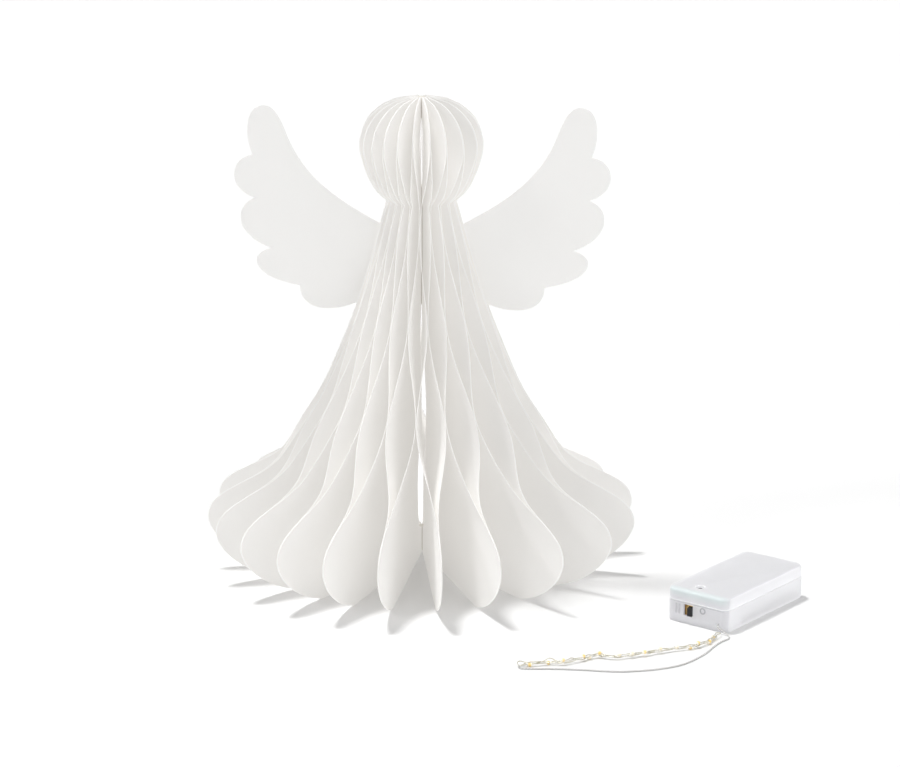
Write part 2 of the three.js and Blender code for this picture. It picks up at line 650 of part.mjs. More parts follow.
function bridgeGeometry() {
  const spring = solid(springGeometry(farPlate[0], -1, -cellSide));
  const nub = bump(farPlate[0] - CONTACT_BUMP, farPlate[1], cellSide);
  return geometryOf(plate(farPlate, 0, 2 * cellSide + CONTACT_WIDTH).add(spring).add(nub));
}

// The switch: a brass channel behind the window and a black slider that runs across it.
function switchChannelGeometry() {
  const outer = block(switchX, about(WINDOW_SIDE, SWITCH_WIDTH), about(WINDOW_RISE, SWITCH_HEIGHT));
  const inside = [switchX[0] - OVERRUN, switchX[1] - SWITCH_METAL];
  const clear = [SWITCH_WIDTH - 2 * SWITCH_METAL, SWITCH_HEIGHT - 2 * SWITCH_METAL];
  const hollow = block(inside, about(WINDOW_SIDE, clear[0]), about(WINDOW_RISE, clear[1]));
  return geometryOf(solid(outer).subtract(solid(hollow)));
}

function switchSliderGeometry() {
  const face = -half.x - KNOB_STANDS;
  const shoe = [switchX[0], switchX[0] + SHOE_DEPTH];
  const side = WINDOW_SIDE - SWITCH_TRAVEL / 2;
  const knob = block([face, shoe[1]], about(side, KNOB_WIDTH), about(WINDOW_RISE, KNOB_HEIGHT));
  const foot = block(shoe, about(side, SHOE_WIDTH), about(WINDOW_RISE, WINDOW_HEIGHT + FIT));
  let slider = solid(knob).add(solid(foot));
  const groove = KNOB_STANDS / 2;
  for (const share of [-0.25, 0, 0.25]) {
    const y = about(side + share * KNOB_WIDTH, groove);
    const cut = block([face - OVERRUN, face + groove], y, about(WINDOW_RISE, 2 * KNOB_HEIGHT));
    slider = slider.subtract(solid(cut));
  }
  return geometryOf(slider);
}

function tubeAlong(points, diameter, steps) {
  const section = new THREE.Shape().absarc(0, 0, diameter / 2, 0, 2 * Math.PI);
  const path = new THREE.CatmullRomCurve3(points, false, 'centripetal');
  const settings = { steps, curveSegments: 4, bevelEnabled: false, extrudePath: path };
  return new THREE.ExtrudeGeometry(section, settings);
}

// The wire inside the case, from the positive tab through the partition to the switch.
function innerWireGeometry() {
  const high = cellRise + CONTACT_HEIGHT / 2 - WIRE_DIAMETER / 2 - FIT;
  const behind = switchX[1];
  const switchEdge = WINDOW_SIDE - SWITCH_WIDTH / 2;
  const points = [
    new THREE.Vector3(bayEnd - FIT, -cellSide, high),
    new THREE.Vector3(bayEnd - PARTITION - WIRE_DIAMETER, -cellSide, high),
    new THREE.Vector3(bayEnd - PARTITION - 2 * WIRE_DIAMETER, -cellSide, high - 2 * WIRE_DIAMETER),
    new THREE.Vector3(behind + WIRE_DIAMETER, -cellSide / 2, WINDOW_RISE),
    new THREE.Vector3(behind - WIRE_DIAMETER, switchEdge - 2 * WIRE_DIAMETER, WINDOW_RISE),
    new THREE.Vector3(behind - WIRE_DIAMETER, switchEdge - FIT, WINDOW_RISE),
  ];
  return tubeAlong(points, WIRE_DIAMETER, 14);
}

function addCase(set) {
  const box = new THREE.Group();
  box.position.set(CASE_CENTRE_X, CASE_CENTRE_Y, 0);
  box.rotation.z = CASE_TURN;
  box.add(named(caseBodyGeometry(), frosted, 'case_body'));
  box.add(named(caseLidGeometry(), frosted, 'case_lid'));
  box.add(named(screwGeometry(), steel, 'lid_screw'));
  box.add(named(cellGeometry(rightCellEnd, -1, -cellSide), cellJacket, 'cell_right'));
  box.add(named(cellGeometry(leftCellEnd, 1, cellSide), cellJacket, 'cell_left'));
  box.add(named(positiveTabGeometry(), steel, 'positive_tab'));
  box.add(named(negativeSpringGeometry(), steel, 'negative_spring'));
  box.add(named(bridgeGeometry(), steel, 'bridge_contact'));
  box.add(named(switchChannelGeometry(), brass, 'switch_channel'));
  box.add(named(switchSliderGeometry(), blackPlastic, 'switch_slider'));
  box.add(named(innerWireGeometry(), paleWire, 'switch_wire'));
  set.add(box);
}

// The lead's route: out of the case, down to the table and along it to the far end of the lights.
const leadFloor = LEAD_DIAMETER / 2 + LEAD_LIFT;
const leadRoute = [
  [151.44, -112.29, LEAD_RISE], [150.21, -113.86, LEAD_RISE], [149.9, -115.4, 3.5],
  [151, -116.9, 2.6], [153.4, -118.8, 1.3], [155.2, -121.4, leadFloor],
  [155, -124.6, leadFloor], [152.2, -127.8, leadFloor], [148.7, -132.4, leadFloor],
  [145.4, -138.4, leadFloor], [142.6, -144.2, leadFloor], [138, -151.4, leadFloor],
  [129, -161.6, leadFloor], [118, -167.6, leadFloor], [98.5, -171.6, leadFloor],
  [80.3, -169.3, leadFloor], [65.9, -167.8, leadFloor], [53.8, -167.6, leadFloor],
  [49.6, -167, leadFloor], [48.5, -165.3, 0.6], [49.3, -163.8, 0.8], [51.4, -163.4, 0.95],
].map((p) => new THREE.Vector3(...p));

// The middle line of the bundled light string, from that far end back to the case.
const bundleRoute = [
  [51.7, -163.4], [57, -162.9], [63.6, -161.4], [71, -161.6], [80.8, -155.6], [87.6, -151.6], [94.6, -153.8],
  [107.6, -150.2], [122, -144], [135.6, -139], [143, -132.6], [146.8, -127], [148.8, -123],
].map((p) => new THREE.Vector3(p[0], p[1], STRAND_HEIGHT));

// The light string: one wire laid out and back three times, its runs twisted about each other,
// with the lights as swellings of it, five to a run and never side by side.
function strandPoints() {
  const route = new THREE.CatmullRomCurve3(bundleRoute, false, 'centripetal');
  const length = route.getLength();
  const up = new THREE.Vector3(0, 0, 1);
  const twist = 2 * Math.PI * (STRAND_TWISTS + 1 / 3);
  const at = (run, s) => {
    const tangent = route.getTangentAt(s);
    const sideways = tangent.clone().cross(up).normalize();
    const turn = -Math.PI / 2 + (2 * Math.PI * run) / RUNS + twist * s;
    const p = route.getPointAt(s).addScaledVector(sideways, STRAND_SPREAD * Math.cos(turn));
    return p.addScaledVector(up, STRAND_SPREAD * Math.sin(turn));
  };
  const wire = STRAND_DIAMETER / 2;
  const light = LIGHT_DIAMETER / 2;
  const swellShares = [[-0.5, wire], [-0.3, light], [0.3, light], [0.5, wire]];
  const step = 4.5 * STRAND_DIAMETER;
  const rings = [];
  for (let run = 0; run < RUNS; run += 1) {
    const lights = [];
    for (let i = 0; i < LIGHTS_PER_RUN; i += 1) {
      lights.push(((i + (run + 1) / (RUNS + 1)) / LIGHTS_PER_RUN) * length);
    }
    const stops = lights.flatMap((c) => swellShares.map(([share, wide]) => [c + share * LIGHT_LENGTH, wide]));
    const count = Math.round(length / step);
    for (let i = 0; i <= count; i += 1) {
      const s = (i / count) * length;
      if (lights.every((c) => Math.abs(c - s) > LIGHT_LENGTH * 0.8)) stops.push([s, wire]);
    }
    stops.sort((a, b) => (run % 2 ? b[0] - a[0] : a[0] - b[0]));
    for (const [s, radius] of stops) rings.push([at(run, s / length), radius]);
    if (run < RUNS - 1) rings.push(...loopRings(route, at, run, wire));
  }
  return rings;
}

// The round turn at a run's end, into the next run.
function loopRings(route, at, run, wire) {
  const end = run % 2 ? 0 : 1;
  const out = route.getTangentAt(end).multiplyScalar(run % 2 ? -LOOP_REACH : LOOP_REACH);
  const [a, b] = [at(run, end), at(run + 1, end)];
  const wide = a.clone().sub(b).normalize().multiplyScalar(LOOP_WIDTH);
  out.z -= LOOP_DIP;
  const curve = new THREE.CubicBezierCurve3(a, a.clone().add(out).add(wide), b.clone().add(out).sub(wide), b);
  return curve.getPoints(12).slice(1, -1).map((p) => [p, wire]);
}

// The least clear gap between stretches of the string that aren't neighbours along it.
function leastGap(rings) {
  const along = [0];
  for (let i = 1; i < rings.length; i += 1) {
    along.push(along[i - 1] + rings[i][0].distanceTo(rings[i - 1][0]));
  }
  let least = Infinity;
  for (let i = 0; i < rings.length; i += 1) {
    for (let j = i + 1; j < rings.length; j += 1) {
      if (along[j] - along[i] < 4 * LIGHT_LENGTH) continue;
      least = Math.min(least, rings[i][0].distanceTo(rings[j][0]) - rings[i][1] - rings[j][1]);
    }
  }
  return { least, length: along[along.length - 1] };
}

function addCords(set) {
  set.add(named(tubeAlong(leadRoute, LEAD_DIAMETER, 60), clearLead, 'lead'));
  const rings = strandPoints();
  const { least, length } = leastGap(rings);
  console.log(`light string: ${length.toFixed(0)} mm, least gap to itself ${least.toFixed(2)} mm`);
  set.add(named(sweep(rings.map((r) => r[0]), rings.map((r) => r[1]), 6), silverWire, 'light_string'));
}

// The whole set, with its origin at the bottom centre of the figure and the case together.
const caseReach = CASE_CENTRE_X + half.x * Math.cos(CASE_TURN) + half.y * Math.sin(CASE_TURN);
const set = new THREE.Group();
const fan = new THREE.Group();
addLeaves(fan);
addBindings(fan);
addWings(fan);
addPads(fan);
set.add(fan);
addCase(set);
addCords(set);
set.position.x = -(caseReach - HEM_RADIUS) / 2;

const part = new THREE.Group();
part.add(set);

export default part;
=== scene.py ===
# %% [markdown]
# # A light-up paper angel
# The real thing is a honeycomb of soft white paper: forty die-cut leaves stand round an upright
# spine and are glued to each other by turns, so that the stack opens like a fan. Two card wings
# are pushed between the side petals, and a string of small lights on a two-cell battery case
# goes into the middle of the skirt. The solid model gives each piece its place and its joints.
# This lesson dresses them. The shapes that follow a rule grow from Geometry Nodes, and the rest
# is plain mesh code.

import math
from functools import partial

import bmesh
import bpy
import numpy as np
from mathutils import Matrix, Vector


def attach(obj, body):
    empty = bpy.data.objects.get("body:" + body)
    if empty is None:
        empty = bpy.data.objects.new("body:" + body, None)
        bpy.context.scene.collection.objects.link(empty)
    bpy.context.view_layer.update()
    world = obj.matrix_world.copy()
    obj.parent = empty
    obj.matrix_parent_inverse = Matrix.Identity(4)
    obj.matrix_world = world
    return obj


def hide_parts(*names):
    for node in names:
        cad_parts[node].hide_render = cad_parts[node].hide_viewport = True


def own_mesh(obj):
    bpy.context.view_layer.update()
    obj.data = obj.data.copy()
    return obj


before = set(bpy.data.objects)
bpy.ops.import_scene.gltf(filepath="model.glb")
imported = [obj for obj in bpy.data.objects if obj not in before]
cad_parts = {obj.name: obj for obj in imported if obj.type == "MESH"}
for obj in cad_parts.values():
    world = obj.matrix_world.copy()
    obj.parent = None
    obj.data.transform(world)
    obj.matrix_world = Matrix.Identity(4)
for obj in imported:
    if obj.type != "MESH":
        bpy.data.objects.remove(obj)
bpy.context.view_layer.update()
MM = 0.001
AXIS_X = -42.344 * MM

# %% [markdown]
# ## Camera
# The photograph was taken from a little above, with a long lens from far away, so upright lines
# stay nearly upright. A long lens on a camera one and a half metres away gives the same calm
# perspective, and the aim point sets where the figure sits in the picture.

# %% Camera
def shown(name, data):
    """An object for some data, in the scene and left at the origin."""
    obj = bpy.data.objects.new(name, data)
    bpy.context.scene.collection.objects.link(obj)
    return obj


eye = Vector((-27.44, -1543.7, 519.7)) * MM
target = Vector((-27.44, 0, 99.1)) * MM
camera_data = bpy.data.cameras.new("camera")
camera_data.lens, camera_data.sensor_width = 119.96, 36
camera_data.clip_start, camera_data.clip_end = 0.05, 40
camera = shown("camera", camera_data)
camera.location = eye
camera.rotation_euler = (target - eye).to_track_quat("-Z", "Y").to_euler()
bpy.context.scene.camera = camera
print("camera", round((target - eye).length, 3), "m from its target")

# %% [markdown]
# ## Helpers for plain meshes
# Each piece is a mesh whose place is in its points, with its object left at the origin. A tube
# for a cord needs a ring of points at each step of its route. The rings are carried along
# without twisting, and a UV map runs round and along the tube so that a finish can follow it.
# A turned piece is made of such rings too, about one upright axis.


# %% Mesh helpers
DENSE_STEPS = 40


def new_piece(name, points, faces, material=None):
    mesh = bpy.data.meshes.new(name)
    mesh.from_pydata([tuple(p) for p in points], [], faces)
    mesh.validate()
    mesh.update()
    if material:
        mesh.materials.append(material)
    return shown(name, mesh)


def from_bmesh(name, bm, material):
    mesh = bpy.data.meshes.new(name)
    bm.to_mesh(mesh)
    bm.free()
    mesh.materials.append(material)
    return shown(name, mesh)


def dressed(obj, node, body="root"):
    """Hides the node that a piece stands for, and hangs the piece on the body that carries it."""
    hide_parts(node)
    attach(obj, body)
    return obj


def smooth(obj, degrees=180):
    for polygon in obj.data.polygons:
        polygon.use_smooth = True
    if degrees < 180:
        bm = bmesh.new()
        bm.from_mesh(obj.data)
        for edge in bm.edges:
            edge.smooth = edge.calc_face_angle(math.pi) < math.radians(degrees)
        bm.to_mesh(obj.data)
        bm.free()
    return obj


def distances(points):
    """How far along a route each of its points lies."""
    return np.concatenate([[0], np.cumsum(np.linalg.norm(np.diff(points, axis=0), axis=1))])


def length_of(points):
    return float(distances(points)[-1])


def tangents_of(points):
    tangents = np.gradient(points, axis=0)
    return tangents / np.linalg.norm(tangents, axis=1)[:, None]


def cubic(a, b, start, stop, steps):
    """Points from a towards b, without b, that leave as start and arrive as stop."""
    t = (np.arange(steps) / steps)[:, None]
    bend = (3 * (b - a) - 2 * start - stop) * t * t
    return a + start * t + bend + (2 * (a - b) + start + stop) * t**3


def through(points, spacing):
    """Evenly spaced points on the smooth curve through the given ones (centripetal)."""
    known = [Vector(p) for p in points]
    known = [2 * known[0] - known[1], *known, 2 * known[-1] - known[-2]]
    dense = []
    for a, b, c, d in zip(known, known[1:], known[2:], known[3:]):
        da, db, dc = ((q - p).length ** 0.5 for p, q in ((a, b), (b, c), (c, d)))
        start = ((b - a) / da - (c - a) / (da + db) + (c - b) / db) * db
        stop = ((c - b) / db - (d - b) / (db + dc) + (d - c) / dc) * db
        for i in range(DENSE_STEPS):
            t = i / DENSE_STEPS
            bend = (3 * (c - b) - 2 * start - stop) * t * t
            dense.append(b + start * t + bend + (2 * (b - c) + start + stop) * t**3)
    dense = np.array([*dense, known[-2]])
    along = distances(dense)
    stations = np.linspace(0, along[-1], max(2, round(along[-1] / spacing)) + 1)
    return np.stack([np.interp(stations, along, column) for column in dense.T], axis=1)


def rings_along(points):
    """Two cross directions at each point of a route, carried along without twisting."""
    tangents = tangents_of(points)
    normal, normals = np.cross([0, 0, 1], tangents[0]), []
    for tangent in tangents:
        normal = normal - tangent * (normal @ tangent)
        normal = normal / np.linalg.norm(normal)
        normals.append(normal)
    return np.array(normals), np.cross(tangents, normals)


def wall(first, rows, sides):
    """Faces between rings of points that follow each other in a list."""
    return [
        (a + k, a + (k + 1) % sides, a + sides + (k + 1) % sides, a + sides + k)
        for a in range(first, first + (rows - 1) * sides, sides) for k in range(sides)
    ]


def tube(name, points, radius_at, sides, material=None):
    """A closed tube. radius_at(turn, distance) gives its radius round and along it."""
    points = np.array(points, float)
    along, corners, coords = distances(points), [], []
    for p, n, b, s in zip(points, *rings_along(points), along):
        for turn in 2 * math.pi * np.arange(sides) / sides:
            corners.append(p + (n * math.cos(turn) + b * math.sin(turn)) * radius_at(turn, s))
    for s0, s1 in zip(along, along[1:]):
        for u in np.arange(sides) / sides:
            coords += [(u, s0), (u + 1 / sides, s0), (u + 1 / sides, s1), (u, s1)]
    last = (len(points) - 1) * sides
    caps = [tuple(range(sides))[::-1], tuple(range(last, last + sides))]
    coords += [(0.5, 0)] * sides + [(0.5, along[-1])] * sides
    obj = new_piece(name, corners, wall(0, len(points), sides) + caps, material)
    uv = obj.data.uv_layers.new(name="run")
    uv.data.foreach_set("uv", np.array(coords, float).ravel())
    return smooth(obj, 60)


def lathe(name, profile, sides, material=None):
    """A closed turned piece about Z from (radius, height) pairs that start and end on the axis."""
    turns = [2 * math.pi * k / sides for k in range(sides)]
    points = [(0, 0, profile[0][1])]
    for radius, z in profile[1:-1]:
        points += [(radius * math.cos(turn), radius * math.sin(turn), z) for turn in turns]
    points.append((0, 0, profile[-1][1]))
    end, top = len(points) - 1, len(points) - 1 - sides
    faces = wall(1, len(profile) - 2, sides)
    for k in range(sides):
        after = (k + 1) % sides
        faces += [(0, 1 + after, 1 + k), (end, top + k, top + after)]
    return new_piece(name, points, faces, material)


# %% [markdown]
# ## The cords
# The set has two cords. A thin lead with a clear cover leaves the battery case by a small hole,
# drops to the table and runs out to the far end of the lights. The light string is one fine wire
# that is laid out and back three times, with its runs twisted loosely about each other. The
# camera and the cords come first, because their routes decide how far the set spreads. The
# route points are the same as in the solid model, so the tubes lie where its solids lie.

# %% Routes of the lead and the light string
LEAD_RISE, LEAD_FLOOR, STRING_RISE = 3.7, 0.45, 1.75
lead_on_table = [
    (155.2, -121.4), (155, -124.6), (152.2, -127.8), (148.7, -132.4), (145.4, -138.4),
    (142.6, -144.2), (138, -151.4), (129, -161.6), (118, -167.6), (98.5, -171.6),
    (80.3, -169.3), (65.9, -167.8), (53.8, -167.6), (49.6, -167),
]
lead_route = [
    (151.44, -112.29, LEAD_RISE), (150.21, -113.86, LEAD_RISE), (149.9, -115.4, 3.5),
    (151, -116.9, 2.6), (153.4, -118.8, 1.3), *((x, y, LEAD_FLOOR) for x, y in lead_on_table),
    (48.5, -165.3, 0.6), (49.3, -163.8, 0.8), (51.4, -163.4, 0.95),
]
bundle_route = [
    (51.7, -163.4), (57, -162.9), (63.6, -161.4), (71, -161.6), (80.8, -155.6), (87.6, -151.6),
    (94.6, -153.8), (107.6, -150.2), (122, -144), (135.6, -139), (143, -132.6), (146.8, -127),
    (148.8, -123),
]
lead_points = through(lead_route, 0.6) * MM + [AXIS_X, 0, 0]
bundle_line = through([(x, y, STRING_RISE) for x, y in bundle_route], 0.25) * MM + [AXIS_X, 0, 0]
print("lead", round(length_of(lead_points), 4), "m; bundle", round(length_of(bundle_line), 4), "m")

# %% [markdown]
# A run of the string follows the bundle's middle line at a small distance and turns about it
# five and a third times. The third of a turn lets one run end where the next one starts. Each
# light pushes the runs a little apart, and here and there one run strays and comes back, as in
# any string that was folded by hand. At each end a loop takes the wire over into the next run.

# %% Lay the string out and back
RUNS, TWISTS, SPREAD = 3, 5 + 1 / 3, 0.48 * MM
LIGHT_ROOM, LIGHT_REACH = 0.34 * MM, 2.0 * MM
STRAY_REACH, WIRE_STEP = 2.4 * MM, 0.5 * MM
LOOP_REACH, LOOP_WIDTHS, LOOP_DIP, LOOP_STEPS = 5 * MM, (3 * MM, 9 * MM), 0.6 * MM, 25
light_places = [
    (0, 0.02, 1.0), (0, 0.275, 1.0), (0, 0.45, 0.2), (0, 0.65, 0.3), (0, 0.84, 1.0),
    (1, 0.105, 1.0), (1, 0.31, 0.3), (1, 0.57, 0.9), (1, 0.73, 0.15), (1, 0.91, 1.0),
    (2, 0.17, 0.8), (2, 0.36, 1.0), (2, 0.51, 0.25), (2, 0.80, 0.9), (2, 0.97, 1.0),
]
back_and_up, to_the_front = np.array([0, 0.88, 0.3]), np.array([0.2, -0.9, 0])
strays = [
    (0, 0.115, 1.7, back_and_up), (2, 0.215, 2.2, back_and_up), (1, 0.455, 1.7, to_the_front),
    (0, 0.575, 1.7, back_and_up), (2, 0.59, 1.5, to_the_front), (1, 0.735, 1.4, back_and_up),
    (2, 0.9, 1.1, to_the_front),
]
bundle_length, bundle_tangents = length_of(bundle_line), tangents_of(bundle_line)


def bundle_at(share):
    places = np.linspace(0, 1, len(bundle_line))
    point, tangent = (
        np.array([np.interp(share, places, column) for column in table.T])
        for table in (bundle_line, bundle_tangents)
    )
    return point, tangent / np.linalg.norm(tangent)


def nearness(share, place, reach):
    return math.exp(-(((share - place) * bundle_length / reach) ** 2))


def wire_at(run, share):
    point, tangent = bundle_at(share)
    sideways = np.cross(tangent, [0, 0, 1])
    turn = -math.pi / 2 + 2 * math.pi * run / RUNS + 2 * math.pi * TWISTS * share
    beside_light = max(nearness(share, at, LIGHT_REACH) for _, at, _ in light_places)
    off_middle = sideways * math.cos(turn) + np.array([0, 0, math.sin(turn)])
    point = point + (SPREAD + LIGHT_ROOM * beside_light) * off_middle
    for which, at, amount, towards in strays:
        if which == run:
            point = point + towards * amount * MM * nearness(share, at, STRAY_REACH)
    return point


def end_loop(run):
    end = run % 2 == 0
    a, b = wire_at(run, float(end)), wire_at(run + 1, float(end))
    out = bundle_at(float(end))[1] * (LOOP_REACH if end else -LOOP_REACH) - [0, 0, LOOP_DIP]
    wide = (a - b) / np.linalg.norm(a - b) * LOOP_WIDTHS[run % 2]
    return [*cubic(a, b, 3 * (out + wide), 3 * (wide - out), LOOP_STEPS)[1:]]


shares = np.linspace(0, 1, round(bundle_length / WIRE_STEP) + 1)
wire_points = []
for run in range(RUNS):
    wire_points += [wire_at(run, s) for s in (shares[::-1] if run % 2 else shares)]
    if run < RUNS - 1:
        wire_points += end_loop(run)
wire_points = np.array(wire_points)
print("light string", round(length_of(wire_points), 4), "m in", len(wire_points), "rings")

# %% Tubes for the two cords
LEAD_WIDTH, LEAD_SIDES = 0.8 * MM, 12
WIRE_WIDTH, WIRE_SIDES, WIRE_LAY, WIRE_WAIST = 0.6 * MM, 10, 2.6 * MM, 0.56


def twisted_pair(turn, distance):
    """Two fine wires wound about each other: a waisted section that turns along the run."""
    side = abs(math.cos(turn - 2 * math.pi * distance / WIRE_LAY))
    return WIRE_WIDTH / 2 * (WIRE_WAIST + (1 - WIRE_WAIST) * side)


lead = tube("lead_cover", lead_points, lambda turn, s: LEAD_WIDTH / 2, LEAD_SIDES)
wire = tube("twisted_wire", wire_points, twisted_pair, WIRE_SIDES)
print("cord tubes", len(lead.data.polygons), len(wire.data.polygons), "faces")

# %% [markdown]
# ## Shader groups
# Paper, card and thread all have fibres, and moulded or metal pieces all have a faint
# unevenness from handling. Each effect is built once as a node group that puts out a shade and
# a height, and is placed in every material that needs it with its own scale. The helpers below
# write a tree as plain sums: an input takes either a value or another node's output.


# %% Node helpers
LINKED = (bpy.types.NodeSocket, bpy.types.Node)
SHAPE, MATERIAL = "NodeSocketGeometry", "NodeSocketMaterial"
NUMBERS = {float: "NodeSocketFloat", int: "NodeSocketInt"}


def feed(socket, value):
    """Gives an input its value, or a link from an output or from a node's first output."""
    if isinstance(value, LINKED):
        socket.id_data.links.new(getattr(value, "outputs", [value])[0], socket)
    elif value is not None:
        socket.default_value = value


def place(tree, kind, **values):
    """A node with its settings and its inputs given by name."""
    node = tree.nodes.new(kind)
    for key, value in values.items():
        if hasattr(node, key):
            setattr(node, key, value)
        else:
            feed(node.inputs[key.replace("_", " ")], value)
    return node


def calc(operation, a, b=None, clamp=False):
    """A Math node in the tree that its inputs come from."""
    tree = (a if isinstance(a, LINKED) else b).id_data
    node = place(tree, "ShaderNodeMath", operation=operation, use_clamp=clamp)
    feed(node.inputs[0], a)
    feed(node.inputs[1], b)
    return node


add, minus, times, over = (partial(calc, o) for o in ("ADD", "SUBTRACT", "MULTIPLY", "DIVIDE"))


def apart(a, b):
    return calc("ABSOLUTE", minus(a, b))


def span(value, low, high, start=0.0, stop=1.0, **settings):
    """From low to high while the value goes from start to stop."""
    return place(
        value.id_data, "ShaderNodeMapRange", Value=value, From_Min=start, From_Max=stop,
        To_Min=low, To_Max=high, **settings,
    )


def split(vector):
    return place(vector.id_data, "ShaderNodeSeparateXYZ", Vector=vector).outputs[:]


def open_group(name, kind, inputs, outputs):
    """A node group. An input is a number with its value, or else the name of a socket type."""
    tree = bpy.data.node_groups.new(name, kind)
    for label, value in inputs.items():
        socket_type = NUMBERS.get(type(value), value)
        socket = tree.interface.new_socket(label, in_out="INPUT", socket_type=socket_type)
        if socket_type != value:
            socket.default_value = value
    for label, socket_type in outputs.items():
        tree.interface.new_socket(label, in_out="OUTPUT", socket_type=socket_type)
    given, out = tree.nodes.new("NodeGroupInput"), tree.nodes.new("NodeGroupOutput")
    return tree, given.outputs, out.inputs


def shape_group(name, numbers):
    """A Geometry Nodes group that takes a shape, the numbers and a finish."""
    inputs = {"Geometry": SHAPE, **numbers, "Finish": MATERIAL}
    return open_group(name, "GeometryNodeTree", inputs, {"Geometry": SHAPE})


def close_group(tree, shape, material, out):
    """Ends a shape group with real geometry that carries its finish."""
    real = place(tree, "GeometryNodeRealizeInstances", Geometry=shape)
    feed(out[0], place(tree, "GeometryNodeSetMaterial", Geometry=real, Material=material))
    return tree


# %% Fibres for paper, card and thread, and marks of handling
def make_pattern(name, inputs):
    number = NUMBERS[float]
    made = open_group(name, "ShaderNodeTree", inputs, {"Shade": number, "Height": number})
    return *made, place(made[0], "ShaderNodeTexCoord").outputs["Object"]


def make_fibres():
    tree, given, out, where = make_pattern("fibres", {"Scale": 900.0, "Contrast": 0.5})
    drawn = place(tree, "ShaderNodeMapping", Vector=where, Scale=(1, 1, 0.35))
    long = place(
        tree, "ShaderNodeTexNoise", Vector=drawn, Scale=given["Scale"], Detail=4.0,
        Roughness=0.6, Distortion=1.2,
    )
    cloud = place(tree, "ShaderNodeTexNoise", Vector=where, Scale=55.0, Detail=3.0)
    both = add(times(long, 0.7), times(cloud, 0.3))
    scaled = times(minus(both, 0.5), given["Contrast"])
    feed(out["Shade"], add(scaled, 0.5, clamp=True))
    feed(out["Height"], both)
    return tree


def make_handling():
    tree, given, out, where = make_pattern("handling", {"Scale": 300.0, "Amount": 0.1})
    broad = place(tree, "ShaderNodeTexNoise", Vector=where, Scale=60.0, Detail=4.0, Roughness=0.55)
    fine = place(tree, "ShaderNodeTexNoise", Vector=where, Scale=given["Scale"], Detail=2.0)
    feed(out["Shade"], times(minus(broad, 0.5), given["Amount"]))
    feed(out["Height"], fine)
    return tree


fibres, handling = make_fibres(), make_handling()
print("shader groups", fibres.name, handling.name)

# %% [markdown]
# ## Materials
# A finish is one Principled shader with its constants on its own sockets. Colour and roughness
# vary a little over the surface, and a bump gives the grain its height. Bump distances are in
# metres, so on paper they are hundredths of a millimetre.


# %% Material helpers
def finish(name, colour, roughness, **constants):
    """A new material and its Principled shader."""
    material = bpy.data.materials.new(name)
    material.use_nodes = True
    material.diffuse_color = (*colour, 1)
    shader = material.node_tree.nodes["Principled BSDF"]
    for key, value in {"Base_Color": (*colour, 1), "Roughness": roughness, **constants}.items():
        shader.inputs[key.replace("_", " ")].default_value = value
    return material, shader


def pattern(shader, group, scale, amount):
    """A group placed in a shader's tree, and its two outputs."""
    node = place(shader.id_data, "ShaderNodeGroup", node_tree=group)
    feed(node.inputs[0], scale)
    feed(node.inputs[1], amount)
    return node.outputs[:]


def between(factor, dark, light):
    """A colour between two, by a factor from 0 to 1."""
    mix = place(factor.id_data, "ShaderNodeMix", data_type="RGBA")
    feed(mix.inputs[0], factor)
    for socket, value in zip(mix.inputs[6:8], (dark, light)):
        feed(socket, value if isinstance(value, LINKED) else (*value, 1))
    return mix.outputs[2]


def surface(shader, colour, shade, roughness, height, relief, strength=1.0):
    """Puts a colour on a shader, a roughness that follows a shade, and a height's bump."""
    feed(shader.inputs["Base Color"], colour)
    feed(shader.inputs["Roughness"], span(shade, *roughness))
    bump = place(
        shader.id_data, "ShaderNodeBump", Strength=strength, Distance=relief, Height=height
    )
    feed(shader.inputs["Normal"], bump)


def made_of(name, group, scale, amount, colours, roughness, relief, edge=None, **constants):
    """A material between two colours and two roughnesses, with a painted highlight colour on cut
    edges.
    """
    material, shader = finish(name, colours[1], sum(roughness) / 2, **constants)
    shade, height = pattern(shader, group, scale, amount)
    if group == handling:
        shade = add(shade, 0.5, clamp=True)
    colour = between(shade, *colours)
    # Painted highlight: a lighter colour on the band along the cut edge.
    if edge:
        cut = place(shader.id_data, "ShaderNodeAttribute", attribute_name="cut_edge")
        colour = between(cut.outputs["Fac"], colour, edge)
    surface(shader, colour, shade, roughness, height, relief)
    return material


# %% [markdown]
# The leaves are soft uncoated paper. Its faces carry faint fibres, and its die-cut edge is painted
# lighter, a painted highlight that draws the fine bright line along each petal. The edge is
# told apart by an attribute that the leaf's mesh carries. Thin paper passes on some of the light
# that falls on its other side, and a small glow of its own, painted light, stands in for that.
# The card of the wings is smoother, with the same painted edge highlight and a weaker painted
# glow.

# %% Paper, card, thread and adhesive
# Painted light: paper and card glow a little by emission, and their edge colour is a painted
# highlight.
paper = made_of(
    "soft_paper", fibres, 900.0, 0.6, ((0.78, 0.77, 0.755), (0.84, 0.832, 0.82)), (0.78, 0.92),
    0.00003, edge=(0.92, 0.912, 0.9), Emission_Color=(1, 0.985, 0.955, 1),
    Emission_Strength=0.165,
)
card = made_of(
    "smooth_card", fibres, 1500.0, 0.4, ((0.81, 0.78, 0.72), (0.87, 0.84, 0.78)), (0.62, 0.78),
    0.00002, edge=(0.93, 0.925, 0.915), Emission_Color=(1, 0.97, 0.91, 1),
    Emission_Strength=0.08,
)
thread = made_of(
    "cotton_thread", fibres, 4000.0, 1.0, ((0.7, 0.67, 0.6), (0.86, 0.84, 0.78)), (0.9, 0.9),
    0.00008, Sheen_Weight=0.3,
)
adhesive = made_of(
    "adhesive_pad", handling, 900.0, 0.5, ((0.76, 0.75, 0.7), (0.88, 0.87, 0.83)), (0.4, 0.4),
    0.00005, Coat_Weight=0.3,
)
print("paper finishes", [m.name for m in (paper, card, thread, adhesive)])

